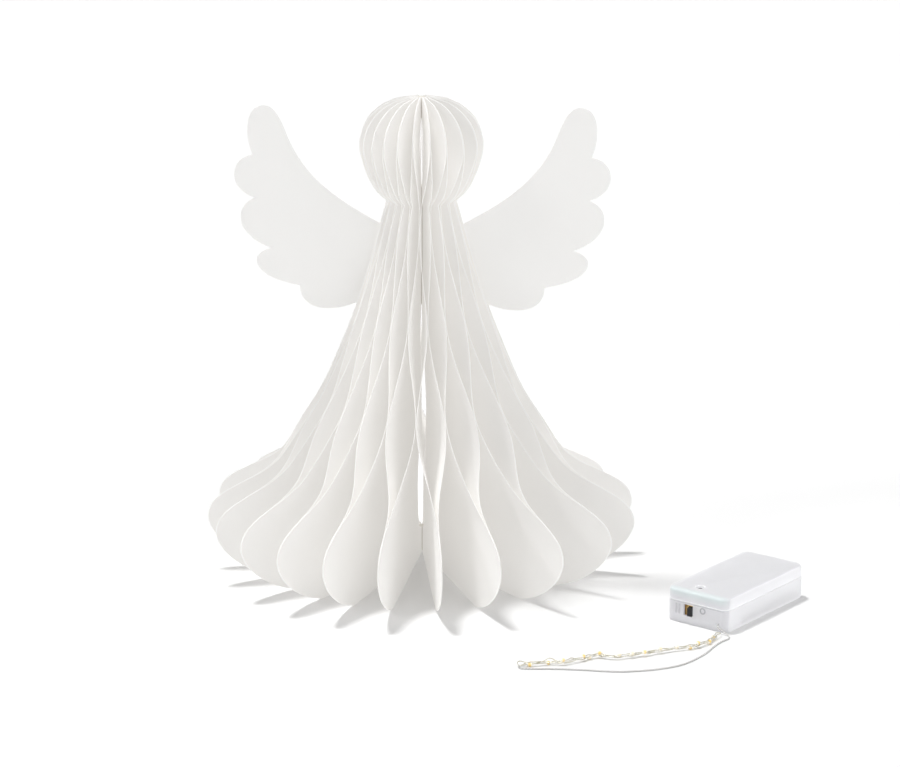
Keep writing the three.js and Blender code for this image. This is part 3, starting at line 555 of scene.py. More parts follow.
# %% [markdown]
# ## The honeycomb leaves
# Each leaf is first a flat die-cut shape: its outer edge is the angel's silhouette, and its inner
# edge has an arch under the skirt and hollows in the body and head. One Geometry Nodes tree
# then stands it in the fan. The tree turns the leaf about the spine by an angle that depends on
# the height: on one set of glue lines it lies against its own petal's other leaf, and on the
# lines between them it reaches half-way to the next petal. That is the whole rule of a
# honeycomb, and a ripple that is shared by all leaves keeps them from looking machined.

# %% Outline of a leaf
HEIGHT, HEM = 254 * MM, 115.3 * MM
SPINE, FOOT_LIFT = 3.2 * MM, 6 * MM
CORE_DEPTH, HEAD_CORE_DEPTH = 10.6 * MM, 6.5 * MM
HEAD_TURN, HEAD_TURN_SHARES = math.radians(3.3), (0.735, 0.846)
HEEL_SHARE, CORE_ROUND, OUTLINE_STEPS = 0.676, 0.3, 24
core_shares, head_core_shares = (0.079, 0.563), (0.815, 0.955)
skirt_shares = [
    (0.711, 0), (0.794, 0.013), (0.872, 0.033), (0.937, 0.057), (0.977, 0.081), (1, 0.11),
    (0.982, 0.139), (0.932, 0.161), (0.846, 0.183), (0.755, 0.204), (0.685, 0.228), (0.635, 0.257),
    (0.564, 0.312), (0.451, 0.398), (0.33, 0.531), (0.254, 0.634), (0.19, 0.735), (0.159, 0.784),
]
head_shares = [
    (0.159, 0.784), (0.218, 0.81), (0.266, 0.86), (0.284, 0.906), (0.254, 0.949), (0.186, 0.98),
    (0.112, 0.995), (0.045, 1),
]


def spline(shares):
    """Points on the smooth outline through the given shares of the hem radius and height."""
    known = np.array(shares) * [HEM, HEIGHT]
    padded = np.vstack([known[:1], known, known[-1:]])
    spans = zip(padded, padded[1:], padded[2:], padded[3:])
    curves = [cubic(b, c, (c - a) / 2, (d - b) / 2, OUTLINE_STEPS) for a, b, c, d in spans]
    return np.vstack([*curves, known[-1:]])


outer_edge = np.vstack([spline(skirt_shares), spline(head_shares)[1:]])


def inner_radius(z):
    heel = HEM * HEEL_SHARE
    if z < FOOT_LIFT:
        return heel + (SPINE - heel) * z / FOOT_LIFT
    t, h = ((z / HEIGHT - low) / (high - low) for low, high in (core_shares, head_core_shares))
    if 0 < t < 1:
        peak = CORE_ROUND / (1 + CORE_ROUND)
        return SPINE + CORE_DEPTH * t**CORE_ROUND * (1 - t) / (peak**CORE_ROUND * (1 - peak))
    return SPINE + (HEAD_CORE_DEPTH * math.sin(math.pi * h) if 0 < h < 1 else 0)


def outer_radius(z):
    return float(np.interp(z, outer_edge[:, 1], outer_edge[:, 0]))


# %% The flat die-cut leaf
HIGHLIGHT_BAND, MIN_WIDTH = 0.45 * MM, 0.2 * MM
GLUE_PITCH, GLUE_LINES = 46.6 * MM, 5
ROWS, ROW_SPARE = 112, 0.35
CORNER_STEPS = (0.002, 0.006, 0.012, 0.024)
column_shares = [0.2, 0.4, 0.6, 0.8]
neck = skirt_shares[-1][1] * HEIGHT
corner_heights = [FOOT_LIFT, neck] + [s * HEIGHT for s in (*core_shares, *head_core_shares)]
corner_heights += [(core_shares[0] + step) * HEIGHT for step in CORNER_STEPS]
corner_heights += [n * GLUE_PITCH for n in range(1, GLUE_LINES + 1)]
heights = sorted(corner_heights + [
    z for z in (HEIGHT * i / ROWS for i in range(ROWS + 1))
    if min(abs(z - c) for c in corner_heights) > HEIGHT / ROWS * ROW_SPARE
])


def flat_leaf():
    """Two skins over each other, joined round their rim, with x as the radius."""
    count = len(column_shares) + 4
    points, skin, rim = [], [], []
    for z in heights:
        low = inner_radius(z)
        high = max(outer_radius(z), low + MIN_WIDTH)
        band = min(HIGHLIGHT_BAND, (high - low) / 5)
        middle = [low + (high - low) * s for s in column_shares]
        for side in (-1, 1):
            points += [(r, 0, z) for r in (low, low + band, *middle, high - band, high)]
            skin += [side] * count
            rim += [1] + [0] * (count - 2) + [1]
    faces = []
    row = 2 * count
    for a in range(0, (len(heights) - 1) * row, row):
        for p in range(a, a + count - 1):
            q = p + count
            faces += [(p, p + 1, p + 1 + row, p + row), (q, q + row, q + row + 1, q + 1)]
        e = a + count - 1
        faces.append((a + count, a, a + row, a + row + count))
        faces.append((e, e + count, e + row + count, e + row))
    top = (len(heights) - 1) * row
    for k in range(count - 1):
        faces.append((k + 1, k, k + count, k + count + 1))
        faces.append((top + k, top + k + 1, top + k + count + 1, top + k + count))
    return points, faces, skin, rim


leaf_points, leaf_faces, leaf_skin, leaf_rim = flat_leaf()
print("flat leaf", len(leaf_points), "points,", len(heights), "rows")


# %% The tree that stands a leaf in the fan
PAPER, GLUE_FILM, SEAM_GAP = 0.2 * MM, 0.15 * MM, 1.0 * MM


def make_leaf_tree():
    tree, value, out = shape_group("honeycomb_leaf", {
        "Petal Angle": 0.0, "Next Angle": 0.3, "Glue Pitch": GLUE_PITCH, "Paper": PAPER,
        "Glue Gap": GLUE_FILM, "Join Gap": GLUE_FILM, "Roundness": 0.85, "Ripple": 0.008,
        "Head Turn": HEAD_TURN, "Turn From": HEAD_TURN_SHARES[0] * HEIGHT,
        "Turn To": HEAD_TURN_SHARES[1] * HEIGHT,
    })
    radius, _, z = split(place(tree, "GeometryNodeInputPosition"))

    lines = calc("MAXIMUM", minus(over(z, value["Glue Pitch"]), 1.0), 0.0)
    straight = calc("PINGPONG", calc("MINIMUM", lines, GLUE_LINES - 1.0), 1.0)
    curve = span(straight, 0, 1, interpolation_type="SMOOTHSTEP")
    phase = add(straight, times(minus(curve, straight), value["Roundness"]))

    reach = minus(value["Next Angle"], value["Petal Angle"])
    angle = add(value["Petal Angle"], times(times(reach, 0.5), phase))
    turns = value["Turn From"], value["Turn To"]
    head = span(z, 0, 1, *turns, interpolation_type="SMOOTHSTEP")
    angle = add(angle, times(head, value["Head Turn"]))

    glued = times(add(value["Paper"], value["Glue Gap"]), 0.5)
    joined = times(add(value["Paper"], value["Join Gap"]), 0.5)
    offset = minus(glued, times(add(glued, joined), phase))
    skin = place(tree, "GeometryNodeInputNamedAttribute", data_type="FLOAT", Name="skin")
    own_side = times(times(skin, value["Paper"]), 0.5)
    offset = add(times(offset, calc("SIGN", reach)), own_side)

    def turned(by):
        sine, cosine = calc("SINE", by), calc("COSINE", by)
        x = add(times(radius, sine), times(offset, cosine))
        y = minus(times(offset, sine), times(radius, cosine))
        return place(tree, "ShaderNodeCombineXYZ", X=x, Y=y, Z=z)

    ripple = place(tree, "ShaderNodeTexNoise", Vector=turned(angle), Scale=9.0, Detail=1.0)
    sway = times(minus(ripple, 0.5), value["Ripple"])
    moved = place(
        tree, "GeometryNodeSetPosition", Geometry=value["Geometry"],
        Position=turned(add(angle, sway)),
    )
    shifted = place(tree, "GeometryNodeTransform", Geometry=moved, Translation=(AXIS_X, 0, 0))
    return close_group(tree, shifted, value["Finish"], out)


def applied(obj):
    """Keeps what the modifiers make as a plain mesh, and takes them off."""
    graph = bpy.context.evaluated_depsgraph_get()
    mesh = bpy.data.meshes.new_from_object(
        obj.evaluated_get(graph), preserve_all_data_layers=True, depsgraph=graph
    )
    obj.modifiers.clear()
    old, obj.data = obj.data, mesh
    bpy.data.meshes.remove(old)
    mesh.name = obj.name
    return obj


def grown(obj, tree, **values):
    """Runs a tree on an object, with some of its inputs given by name."""
    modifier = obj.modifiers.new("grow", "NODES")
    modifier.node_group = tree
    for item in tree.interface.items_tree:
        key = item.name.replace(" ", "_")
        if item.in_out == "INPUT" and key in values:
            modifier[item.identifier] = values[key]
    return applied(obj)


leaf_tree = make_leaf_tree()
print("leaf tree", len(leaf_tree.nodes), "nodes")

# %% [markdown]
# The eleven petals at the front stand as they do in the photograph, and the rest are even. A
# petal's leaf `a` leans to the petal before it and its leaf `b` to the one after. Each leaf
# rides on its petal's body.

# %% Grow the forty leaves
right_petals = [5.4, 20.6, 39.1, 59.2, 79.1, 98.7, 118.3, 137.9, 157.5, 177.2]
left_petals = [-10.7, -25.4, -39.6, -54.2, -70, -84.8, -104.4, -124, -143.6, -163.2]
names = [f"r{i:02d}" for i in range(1, 11)] + [f"l{i:02d}" for i in range(10, 0, -1)]
angles = right_petals + [a + 360 for a in reversed(left_petals)]


def folds(obj):
    """Gives a sheet its own copy of its mesh."""
    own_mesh(obj)


def add_leaf(name, letter, angle, towards, gap):
    obj = new_piece(f"paper_{name}_{letter}", leaf_points, leaf_faces)
    # The rim points carry the attribute for the painted edge highlight.
    for label, values in (("skin", leaf_skin), ("cut_edge", leaf_rim)):
        attribute = obj.data.attributes.new(label, "FLOAT", "POINT")
        attribute.data.foreach_set("value", np.array(values, np.float32))
    grown(
        obj, leaf_tree, Petal_Angle=math.radians(angle), Next_Angle=math.radians(towards),
        Join_Gap=gap, Finish=paper,
    )
    smooth(obj, 60)
    dressed(obj, f"leaf_{name}_{letter}", "root" if name == "r01" else f"petal_{name}")
    folds(obj)
    return obj


leaves = []
ring = [angles[-1] - 360, *angles, angles[0] + 360]
for name, before, angle, after in zip(names, ring, angles, ring[2:]):
    for letter, towards, seam in (("a", before, "l10"), ("b", after, "r10")):
        gap = SEAM_GAP if name == seam else GLUE_FILM
        leaves.append(add_leaf(name, letter, angle, towards, gap))
print("leaves", len(leaves), "of", len(leaves[0].data.polygons), "faces each")

# %% [markdown]
# ## The bindings on the spine
# The leaves' inner edges are tied on the spine at the foot, the neck and the crown with cotton
# thread. A coil repeats one turn many times, so a tree makes it: a spiral curve is given a round
# section, and a plain core fills it. The same tree later makes the battery springs.


# %% The tree that winds a coil
def make_coil_tree():
    tree, value, out = shape_group("wound_coil", {
        "Turns": 10.0, "Foot Radius": 0.002, "Top Radius": 0.002, "Length": 0.02,
        "Thickness": 0.0005, "Steps Per Turn": 20,
    })
    spiral = place(
        tree, "GeometryNodeCurveSpiral", Resolution=value["Steps Per Turn"],
        Rotations=value["Turns"], Start_Radius=value["Foot Radius"],
        End_Radius=value["Top Radius"], Height=value["Length"],
    )
    section = place(
        tree, "GeometryNodeCurvePrimitiveCircle", Resolution=8,
        Radius=times(value["Thickness"], 0.5),
    )
    swept = place(
        tree, "GeometryNodeCurveToMesh", Curve=spiral, Profile_Curve=section, Fill_Caps=True
    )
    both = place(tree, "GeometryNodeJoinGeometry", Geometry=swept)
    feed(both.inputs[0], value["Geometry"])
    return close_group(tree, both, value["Finish"], out)


coil_tree = make_coil_tree()


# %% Wind the three bindings
THREAD, THREAD_PITCH = 0.55 * MM, 0.561 * MM
BINDING_RADIUS, BINDING_FOOT, BINDING_TOP = 2.9 * MM, 6.3 * MM, 253.7 * MM
spine_spans = {
    "foot_binding": (BINDING_FOOT, core_shares[0] * HEIGHT),
    "neck_binding": (core_shares[1] * HEIGHT, head_core_shares[0] * HEIGHT),
    "crown_binding": (head_core_shares[1] * HEIGHT, BINDING_TOP),
}
for node, (low, high) in spine_spans.items():
    run = high - low - THREAD
    core_radius, coil_radius = BINDING_RADIUS - THREAD, BINDING_RADIUS - THREAD / 2
    core = lathe(f"wound_{node}", [(0, 0), (core_radius, 0), (core_radius, run), (0, run)], 20)
    grown(
        core, coil_tree, Turns=run / THREAD_PITCH, Foot_Radius=coil_radius,
        Top_Radius=coil_radius, Length=run, Thickness=THREAD, Finish=thread,
    )
    core.data.transform(Matrix.Translation((AXIS_X, 0, low + THREAD / 2)))
    smooth(core, 50)
    dressed(core, node)
    print(node, round(run / THREAD_PITCH, 1), "turns")

# %% [markdown]
# ## The wings
# Each wing is one flat piece of card with a feathered outline and a tab that stands between two
# side petals. It is die-cut, so its outline is a smooth curve, and its edge is painted lighter as
# a painted highlight, a sharp bright line. The outline is sampled finely from the same curves as
# the solid, filled and given the card's thickness, with a narrow band inside the edge that
# carries the attribute for the painted highlight. In the folded stack a wing is pressed between
# its two petals.

# %% Cut the wings
WING_REACH, WING_BASE, WING_RISE, WING_CARD = 104 * MM, 136 * MM, 112 * MM, 0.3 * MM
WING_STEPS = 28
wing_start = (0.214, 0.4495)
wing_curves = [
    (0.413, 0.55, 0.577, 0.648, 0.663, 0.824), (0.697, 0.896, 0.726, 0.998, 0.793, 1),
    (0.894, 1.003, 0.899, 0.858, 0.856, 0.765), (0.971, 0.752, 1, 0.607, 0.849, 0.56),
    (0.952, 0.523, 0.966, 0.384, 0.769, 0.32), (0.889, 0.29, 0.88, 0.179, 0.624, 0.141),
    (0.625, 0.027, 0.481, 0, 0.322, 0.067),
]
wing_tab = [
    (0.212, 0.125), (0.135, 0.196), (0.106, 0.268), (0.115, 0.339), (0.154, 0.393), (0.209, 0.43)
]


def wing_outline():
    start, pieces = np.array(wing_start), []
    for ax, az, bx, bz, x, z in wing_curves:
        p, q, end = np.array(((ax, az), (bx, bz), (x, z)))
        pieces.append(cubic(start, end, 3 * (p - start), 3 * (end - q), WING_STEPS))
        start = end
    return np.vstack([*pieces, start, wing_tab])


def make_wing(name, azimuth):
    outline = [(r * WING_REACH, WING_BASE + z * WING_RISE) for r, z in wing_outline()]
    bm = bmesh.new()
    face = bm.faces.new([bm.verts.new((r, -WING_CARD / 2, z)) for r, z in outline])
    bmesh.ops.inset_region(bm, faces=[face], thickness=HIGHLIGHT_BAND, use_even_offset=False)
    bmesh.ops.triangulate(bm, faces=[max(bm.faces, key=lambda f: f.calc_area())])
    # The boundary points carry the attribute for the painted edge highlight.
    rim = bm.verts.layers.float.new("cut_edge")
    for v in bm.verts:
        v[rim] = float(v.is_boundary)
    made = bmesh.ops.extrude_face_region(bm, geom=list(bm.faces))
    moved = [g for g in made["geom"] if isinstance(g, bmesh.types.BMVert)]
    bmesh.ops.translate(bm, verts=moved, vec=(0, WING_CARD, 0))
    bmesh.ops.recalc_face_normals(bm, faces=bm.faces)
    turn = Matrix.Rotation(math.radians(azimuth - 90), 4, "Z")
    bmesh.ops.transform(bm, matrix=Matrix.Translation((AXIS_X, 0, 0)) @ turn, verts=bm.verts)
    return from_bmesh(name, bm, card)


for node, petals in (("wing_left", left_petals[5:7]), ("wing_right", right_petals[4:6])):
    azimuth = sum(petals) / 2
    wing = dressed(make_wing(f"card_{node}", azimuth), node, node)
    folds(wing)
    print(node, len(wing.data.polygons), "faces")

# %% [markdown]
# ## The adhesive pads
# Two small round pads close the fan at the back. Their solids have the right shape, so they stay
# and only take the adhesive's finish.

# %% Finish for the pads
for node in ("seam_pad_lower", "seam_pad_upper"):
    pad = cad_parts[node]
    pad.data.materials.clear()
    pad.data.materials.append(adhesive)
print("pads", "finished")

# %% [markdown]
# ## Finishes of the battery case
# The case is moulded in a frosted clear plastic: light passes through it, but nothing behind it
# is sharp. Masks in the case's own axes paint light and shade into its colour and glow: the long
# sides are painted lighter and glow, most of all along their lower edge, as painted light; the
# lid's top is painted greyer, as painted shade; its front edge is a little green-blue; the seam at
# the front is darker; and the ribs beside the switch and the wall next to them are painted darker,
# as painted shade. The whole case has a faint glow of its own too, which is painted light. Metal
# parts are nickelled steel and brass, and the switch is black plastic.


# %% Plastic and metal
def make_frosted():
    material, shader = finish(
        "frosted_plastic", (0.93, 0.93, 0.955), 0.34, Transmission_Weight=0.5, IOR=1.49,
        Emission_Color=(0.98, 0.98, 1, 1), Emission_Strength=0.14,
    )
    tree = shader.id_data
    smudge, height = pattern(shader, handling, 1400.0, 0.3)
    where = place(tree, "ShaderNodeTexCoord").outputs["Object"]
    cloud = place(tree, "ShaderNodeTexNoise", Vector=where, Scale=55.0, Detail=1.0)
    shade = add(smudge, minus(times(cloud, 1.6), 0.3), clamp=True)
    in_case = place(
        tree, "ShaderNodeMapping", vector_type="TEXTURE", Vector=where, Location=case_centre,
        Rotation=(0, 0, CASE_TURN),
    )
    x, y, z = split(in_case)

    def rise(value, start, stop):
        return span(value, 0, 1, start * MM, stop * MM)

    front, side = rise(x, -36, -36.5), rise(calc("ABSOLUTE", y), 17.9, 18.3)
    from_rib = apart(apart(y, RIBS_SIDE), RIB_SPACING / 2)
    ribs = times(rise(from_rib, 0.62, 0.4), rise(apart(z, RIBS_RISE), 2.9, 2.5))
    seam = times(rise(z, 10.7, 10.9), rise(z, 11.4, 11.3))
    # Painted light and shade: the lid's top is painted greyer as painted shade, the long sides
    # lighter as painted light, and the ribs and the wall beside them darker as painted shade. The
    # seam is darker and the lid's front a little green-blue.
    masks = [
        (rise(z, 17.4, 17.9), 1.0, (0.62, 0.62, 0.63)), (side, 1.0, (0.86, 0.86, 0.87)),
        (times(seam, front), 0.5, (0.4, 0.4, 0.42)),
        (times(rise(x, -33, -37), rise(z, 13, 17)), 0.55, (0.6, 0.76, 0.73)),
        (times(ribs, front), 0.6, (0.4, 0.4, 0.42)),
    ]
    clear = between(shade, (0.64, 0.64, 0.66), (0.76, 0.76, 0.78))
    for mask, strength, colour in masks:
        clear = between(times(mask, strength), clear, colour)
    # Painted light: a glow on the long sides that is strongest along their lower edge, over a
    # faint glow on the whole case.
    lower_edge_glow = times(rise(z, 1.7, 1.2), 0.75)
    feed(shader.inputs["Emission Strength"], span(times(side, add(lower_edge_glow, 0.25)), 0.14, 0.38))
    surface(shader, clear, shade, (0.46, 0.56), height, 0.00004, 0.6)
    return material


def make_metal(name, colours, roughness):
    return made_of(name, handling, 2500.0, 1.2, colours, roughness, 0.00001, Metallic=1.0)


def make_moulded(name, colours, roughness, **constants):
    return made_of(name, handling, 2200.0, 0.9, colours, roughness, 0.00003, **constants)


CASE_TURN = math.radians(51.8)
RIBS_SIDE, RIBS_RISE, RIB_SPACING = 11.3 * MM, 7.4 * MM, 1.9 * MM
case_centre = (AXIS_X + 162.7 * MM, -76.8 * MM, 0)
case_place = Matrix.Translation(case_centre) @ Matrix.Rotation(CASE_TURN, 4, "Z")
frosted = make_frosted()
# A lighter finish with a glow of its own for the bevelled edges of the body and lid: a painted
# highlight.
painted_edge_glow = make_moulded(
    "frosted_edge", ((0.93, 0.93, 0.95), (0.97, 0.97, 0.98)), (0.22, 0.32),
    Transmission_Weight=0.3, IOR=1.49, Emission_Color=(1, 1, 1, 1), Emission_Strength=0.36,
)
steel = make_metal("nickelled_steel", ((0.6, 0.6, 0.59), (0.8, 0.8, 0.79)), (0.16, 0.34))
brass = make_metal("brass_sheet", ((0.6, 0.4, 0.15), (0.82, 0.6, 0.26)), (0.2, 0.38))
black = make_moulded("black_plastic", ((0.01, 0.01, 0.011), (0.022, 0.022, 0.024)), (0.36, 0.52))
jacket = make_moulded(
    "cell_jacket", ((0.72, 0.72, 0.74), (0.82, 0.82, 0.83)), (0.3, 0.42), Coat_Weight=0.4
)
wire_cover = make_moulded("wire_cover", ((0.66, 0.65, 0.62), (0.8, 0.79, 0.76)), (0.32, 0.46))
print("case finishes", [m.name for m in (frosted, steel, brass, black, jacket, wire_cover)])

# %% [markdown]
# ## The case's body and lid
# A moulded edge is never sharp: it has a small radius that catches a line of light, and on this
# case these bright lines are most of what one sees. The solid's mesh is loose triangles, so a copy
# is merged, its flat faces are made whole again, and a bevel rounds its edges. On the body and the
# lid the bevel's faces take a lighter finish that glows, a painted highlight for these bright
# lines.
# The switch's knob is black outside and shows a little brass behind, and it hangs low in its
# window.


# %% Rounded copies of the solids
MERGE_REACH, FLAT_ANGLE, EDGE_ANGLE = 2e-6, math.radians(0.6), math.radians(32)
PLATE_FACE, KNOB_DROP = -35.6 * MM, 0.8 * MM


def rounded_copy(node, name, width, material, edge_material):
    bm = bmesh.new()
    bm.from_mesh(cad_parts[node].data)
    bmesh.ops.remove_doubles(bm, verts=bm.verts, dist=MERGE_REACH)
    bmesh.ops.dissolve_limit(bm, angle_limit=FLAT_ANGLE, verts=bm.verts, edges=bm.edges)
    obj = from_bmesh(name, bm, material)
    bevel = obj.modifiers.new("edge", "BEVEL")
    bevel.width, bevel.segments = width, 2
    bevel.limit_method, bevel.angle_limit = "ANGLE", EDGE_ANGLE
    # The bevel's faces take the painted highlight finish, where one is given.
    if edge_material:
        obj.data.materials.append(edge_material)
        bevel.material = 1
    return smooth(applied(obj), 35)


for node, name, edge, finishes, slot_name, body in (
    ("case_body", "frosted_body", 0.3, (frosted, painted_edge_glow), "frosted_plastic", "root"),
    ("case_lid", "frosted_lid", 0.3, (frosted, painted_edge_glow), "frosted_plastic", "lid"),
    ("lid_screw", "screw_head_and_shank", 0.1, (steel, None), "steel", "lid"),
    ("switch_channel", "switch_metal", 0.08, (brass, None), "brass", "root"),
    ("switch_slider", "switch_knob", 0.09, (black, None), "black_plastic", "slider"),
):
    rounded = dressed(rounded_copy(node, name, edge * MM, *finishes), node, body)
    print(name, len(rounded.data.polygons), "faces")
slider = bpy.data.objects["switch_knob"].data
slider.materials.append(brass)
for vertex in slider.vertices:
    if (case_place.inverted() @ vertex.co).x < PLATE_FACE:
        vertex.co.z -= KNOB_DROP
for polygon in slider.polygons:
    reach = min((case_place.inverted() @ slider.vertices[i].co).x for i in polygon.vertices)
    polygon.material_index = int(reach > PLATE_FACE)

# %% [markdown]
# The photograph also shows a small round mark beside the switch, as a moulding leaves it. It is a
# shallow ring that stands a little out of the front wall. Its measures are in millimetres, in the
# case's own axes.

# %% The moulded mark
MARK_SIDE, MARK_RISE, MARK_RADIUS, MARK_STEPS = -3.8, 8.9, 1.4, 24
CASE_FRONT, MARK_ROOT, MARK_PROUD = -36.85, 0.1, -0.3
mark_section = [(-0.35, MARK_ROOT), (-0.2, MARK_PROUD), (0.2, MARK_PROUD), (0.35, MARK_ROOT)]
mark_points, mark_faces = [], []
for step in range(MARK_STEPS):
    turn = 2 * math.pi * step / MARK_STEPS
    here, there = 4 * step, 4 * ((step + 1) % MARK_STEPS)
    for k, (reach, depth) in enumerate(mark_section):
        y = MARK_SIDE + (MARK_RADIUS + reach) * math.cos(turn)
        z = MARK_RISE + (MARK_RADIUS + reach) * math.sin(turn)
        mark_points.append(case_place @ (Vector((CASE_FRONT + depth, y, z)) * MM))
        after = (k + 1) % 4
        mark_faces.append((here + k, there + k, there + after, here + after))
mark_finish = make_moulded(
    "moulded_mark", ((0.5, 0.5, 0.52), (0.6, 0.6, 0.62)), (0.3, 0.42), Transmission_Weight=0.3
)
mark = smooth(new_piece("moulded_mark", mark_points, mark_faces, mark_finish), 40)
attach(mark, "root")
print("mark", len(mark_faces), "faces")

# %% [markdown]
# ## Cells and contacts
# Two cells lie side by side, one each way. Each has a printed jacket that is shrunk over its
# shoulders and steel ends with a nub. The contacts are thin plates: a conical spring presses on
# each flat end and a round bump meets each nub. The springs come from the coil tree.


# %% Cells
CELL_RISE, CELL_SIDE, NUB_END = 8.75 * MM, 7.4 * MM, 6.3 * MM
CELL_STARTS = 31.45 * MM, -16.45 * MM
cell_profile = [
    (0, 0.2), (4.6, 0.2), (4.8, 0.05), (6.2, 0.05), (6.5, 0), (6.95, 0.12), (7.2, 0.4),
    (7.25, 0.8), (7.25, 48.4), (7.2, 48.8), (6.95, 49.1), (6.5, 49.25), (6.1, 49.2), (5.9, 48.9),
    (3.2, 48.9), (2.9, 49.0), (2.75, 49.3), (2.75, 50.2), (2.6, 50.45), (2.3, 50.5), (0, 50.5),
]


def make_cell(node, start, direction):
    """A cell that lies from its flat end at the start, towards +X or -X of the case."""
    profile = [(r * MM, z * MM) for r, z in cell_profile]
    obj = lathe(f"aa_{node}", profile, 40, jacket)
    obj.data.materials.append(steel)
    for polygon in obj.data.polygons:
        reach = max(math.hypot(*obj.data.vertices[i].co.xy) for i in polygon.vertices)
        polygon.material_index = int(reach < NUB_END)
    lie = Matrix.Rotation(math.radians(90 * direction), 4, "Y")
    put = Matrix.Translation((start, direction * CELL_SIDE, CELL_RISE))
    obj.data.transform(case_place @ put @ lie)
    return dressed(smooth(obj, 40), node)


cells = [make_cell("cell_right", CELL_STARTS[0], -1), make_cell("cell_left", CELL_STARTS[1], 1)]
print("cells", [o.name for o in cells])


# %% Contact plates and their springs
PLATE_RISE, PLATE_THICK, PLATE_EDGE = 9 * MM, 0.4 * MM, 0.06 * MM
BUMP_RADIUS, BUMP_HEIGHT, BUMP_ROOT, BUMP_SIDES = 2 * MM, 0.6 * MM, -0.02 * MM, 24
bump_section = [(1, 0), (0.97, 0.45), (0.8, 0.8), (0.4, 1)]


def dome(bm, centre_x):
    loops = []
    for wide, up in bump_section:
        loops.append([
            bm.verts.new((
                centre_x + wide * BUMP_RADIUS * math.cos(a), wide * BUMP_RADIUS * math.sin(a),
                BUMP_ROOT + up * BUMP_HEIGHT,
            ))
            for a in np.linspace(0, 2 * math.pi, BUMP_SIDES, endpoint=False)
        ])
    for low, high in zip(loops, loops[1:]):
        for k in range(BUMP_SIDES):
            after = (k + 1) % BUMP_SIDES
            bm.faces.new((low[k], low[after], high[after], high[k]))
    bm.faces.new(loops[-1])
    bm.faces.new(loops[0][::-1])


def make_contact(node, width, bump_at, spring, place_in_case):
    """A plate in the plane z = 0 with its parts towards +z, put in its place in the case."""
    bm = bmesh.new()
    middle = Matrix.Translation((bump_at / 2 if bump_at else 0, 0, -PLATE_THICK / 2))
    shape = middle @ Matrix.Diagonal((width, PLATE_RISE, PLATE_THICK, 1))
    bmesh.ops.create_cube(bm, size=1, matrix=shape)
    bmesh.ops.bevel(bm, geom=list(bm.edges), offset=PLATE_EDGE, segments=2, affect="EDGES")
    if bump_at is not None:
        dome(bm, bump_at)
    obj = from_bmesh(f"plated_{node}", bm, steel)
    if spring:
        grown(
            obj, coil_tree, Turns=3.2, Foot_Radius=3.9 * MM, Top_Radius=2.3 * MM,
            Length=2.6 * MM, Thickness=0.6 * MM, Steps_Per_Turn=28, Finish=steel,
        )
    obj.data.transform(case_place @ place_in_case)
    return dressed(smooth(obj, 40), node)


CONTACT_NEAR, CONTACT_FAR, BRIDGE_WIDTH = -19.95 * MM, 34.95 * MM, 23.8 * MM
towards_wires = Matrix(((0, 0, -1, 0), (-1, 0, 0, 0), (0, 1, 0, 0), (0, 0, 0, 1)))
from_wires = Matrix(((0, 0, 1, 0), (1, 0, 0, 0), (0, 1, 0, 0), (0, 0, 0, 1)))
for node, width, bump_at, spring, x, y, turn in (
    ("positive_tab", PLATE_RISE, 0.0, False, CONTACT_NEAR, -CELL_SIDE, from_wires),
    ("negative_spring", PLATE_RISE, None, True, CONTACT_NEAR, CELL_SIDE, from_wires),
    ("bridge_contact", BRIDGE_WIDTH, -2 * CELL_SIDE, True, CONTACT_FAR, -CELL_SIDE, towards_wires),
):
    put = Matrix.Translation((x, y, CELL_RISE)) @ turn
    contact = make_contact(node, width, bump_at, spring, put)
    print(node, len(contact.data.polygons), "faces")

# %% [markdown]
# A thin covered wire joins the positive contact to the switch. It is fixed at both ends inside
# the case, so it is an ordinary piece and not one of the free cords.

# %% The wire inside the case
inner_route = [
    (-20.95, -7.4, 12.45), (-22.85, -7.4, 12.45), (-23.85, -7.4, 10.45), (-31.55, -3.7, 7.4),
    (-33.55, -1.5, 7.4), (-33.55, 0.2, 7.4),
]
INNER_RADIUS = 0.49 * MM
inner_points = np.array([case_place @ Vector(p) for p in through(inner_route, 0.3) * MM])
inner_wire = tube("switch_lead", inner_points, lambda turn, s: INNER_RADIUS, 12, wire_cover)
dressed(inner_wire, "switch_wire")
print("inner wire", round(length_of(inner_points), 4), "m")

# %% [markdown]
# ## Finishes of the cords
# The lead shows two fine wires through its clear cover, as darker lines that wind round it. The
# light string is lacquered wire, silver with a touch of olive. Both patterns follow the tube's
# own UV map, which runs round it and along it in metres.


# %% Lead and wire finishes
LEAD_LAY, DRIFT_LENGTH = 3.2 * MM, 9 * MM


def run_of(shader):
    """How far round its tube a point lies, and how far along."""
    return split(place(shader.id_data, "ShaderNodeUVMap", uv_map="run"))[:2]


def make_lead_cover():
    material, shader = finish("lead_cover", (0.72, 0.71, 0.7), 0.3, Coat_Weight=0.5)
    around, along = run_of(shader)
    wave = calc("SINE", times(add(around, over(along, LEAD_LAY)), 4 * math.pi))
    smudge, _ = pattern(shader, handling, 1500.0, 0.8)
    shade = add(span(wave, 0, 1, -0.4, 0.8), smudge, clamp=True)
    colour = between(shade, (0.52, 0.515, 0.505), (0.78, 0.77, 0.76))
    surface(shader, colour, shade, (0.24, 0.4), wave, 0.00002)
    return material


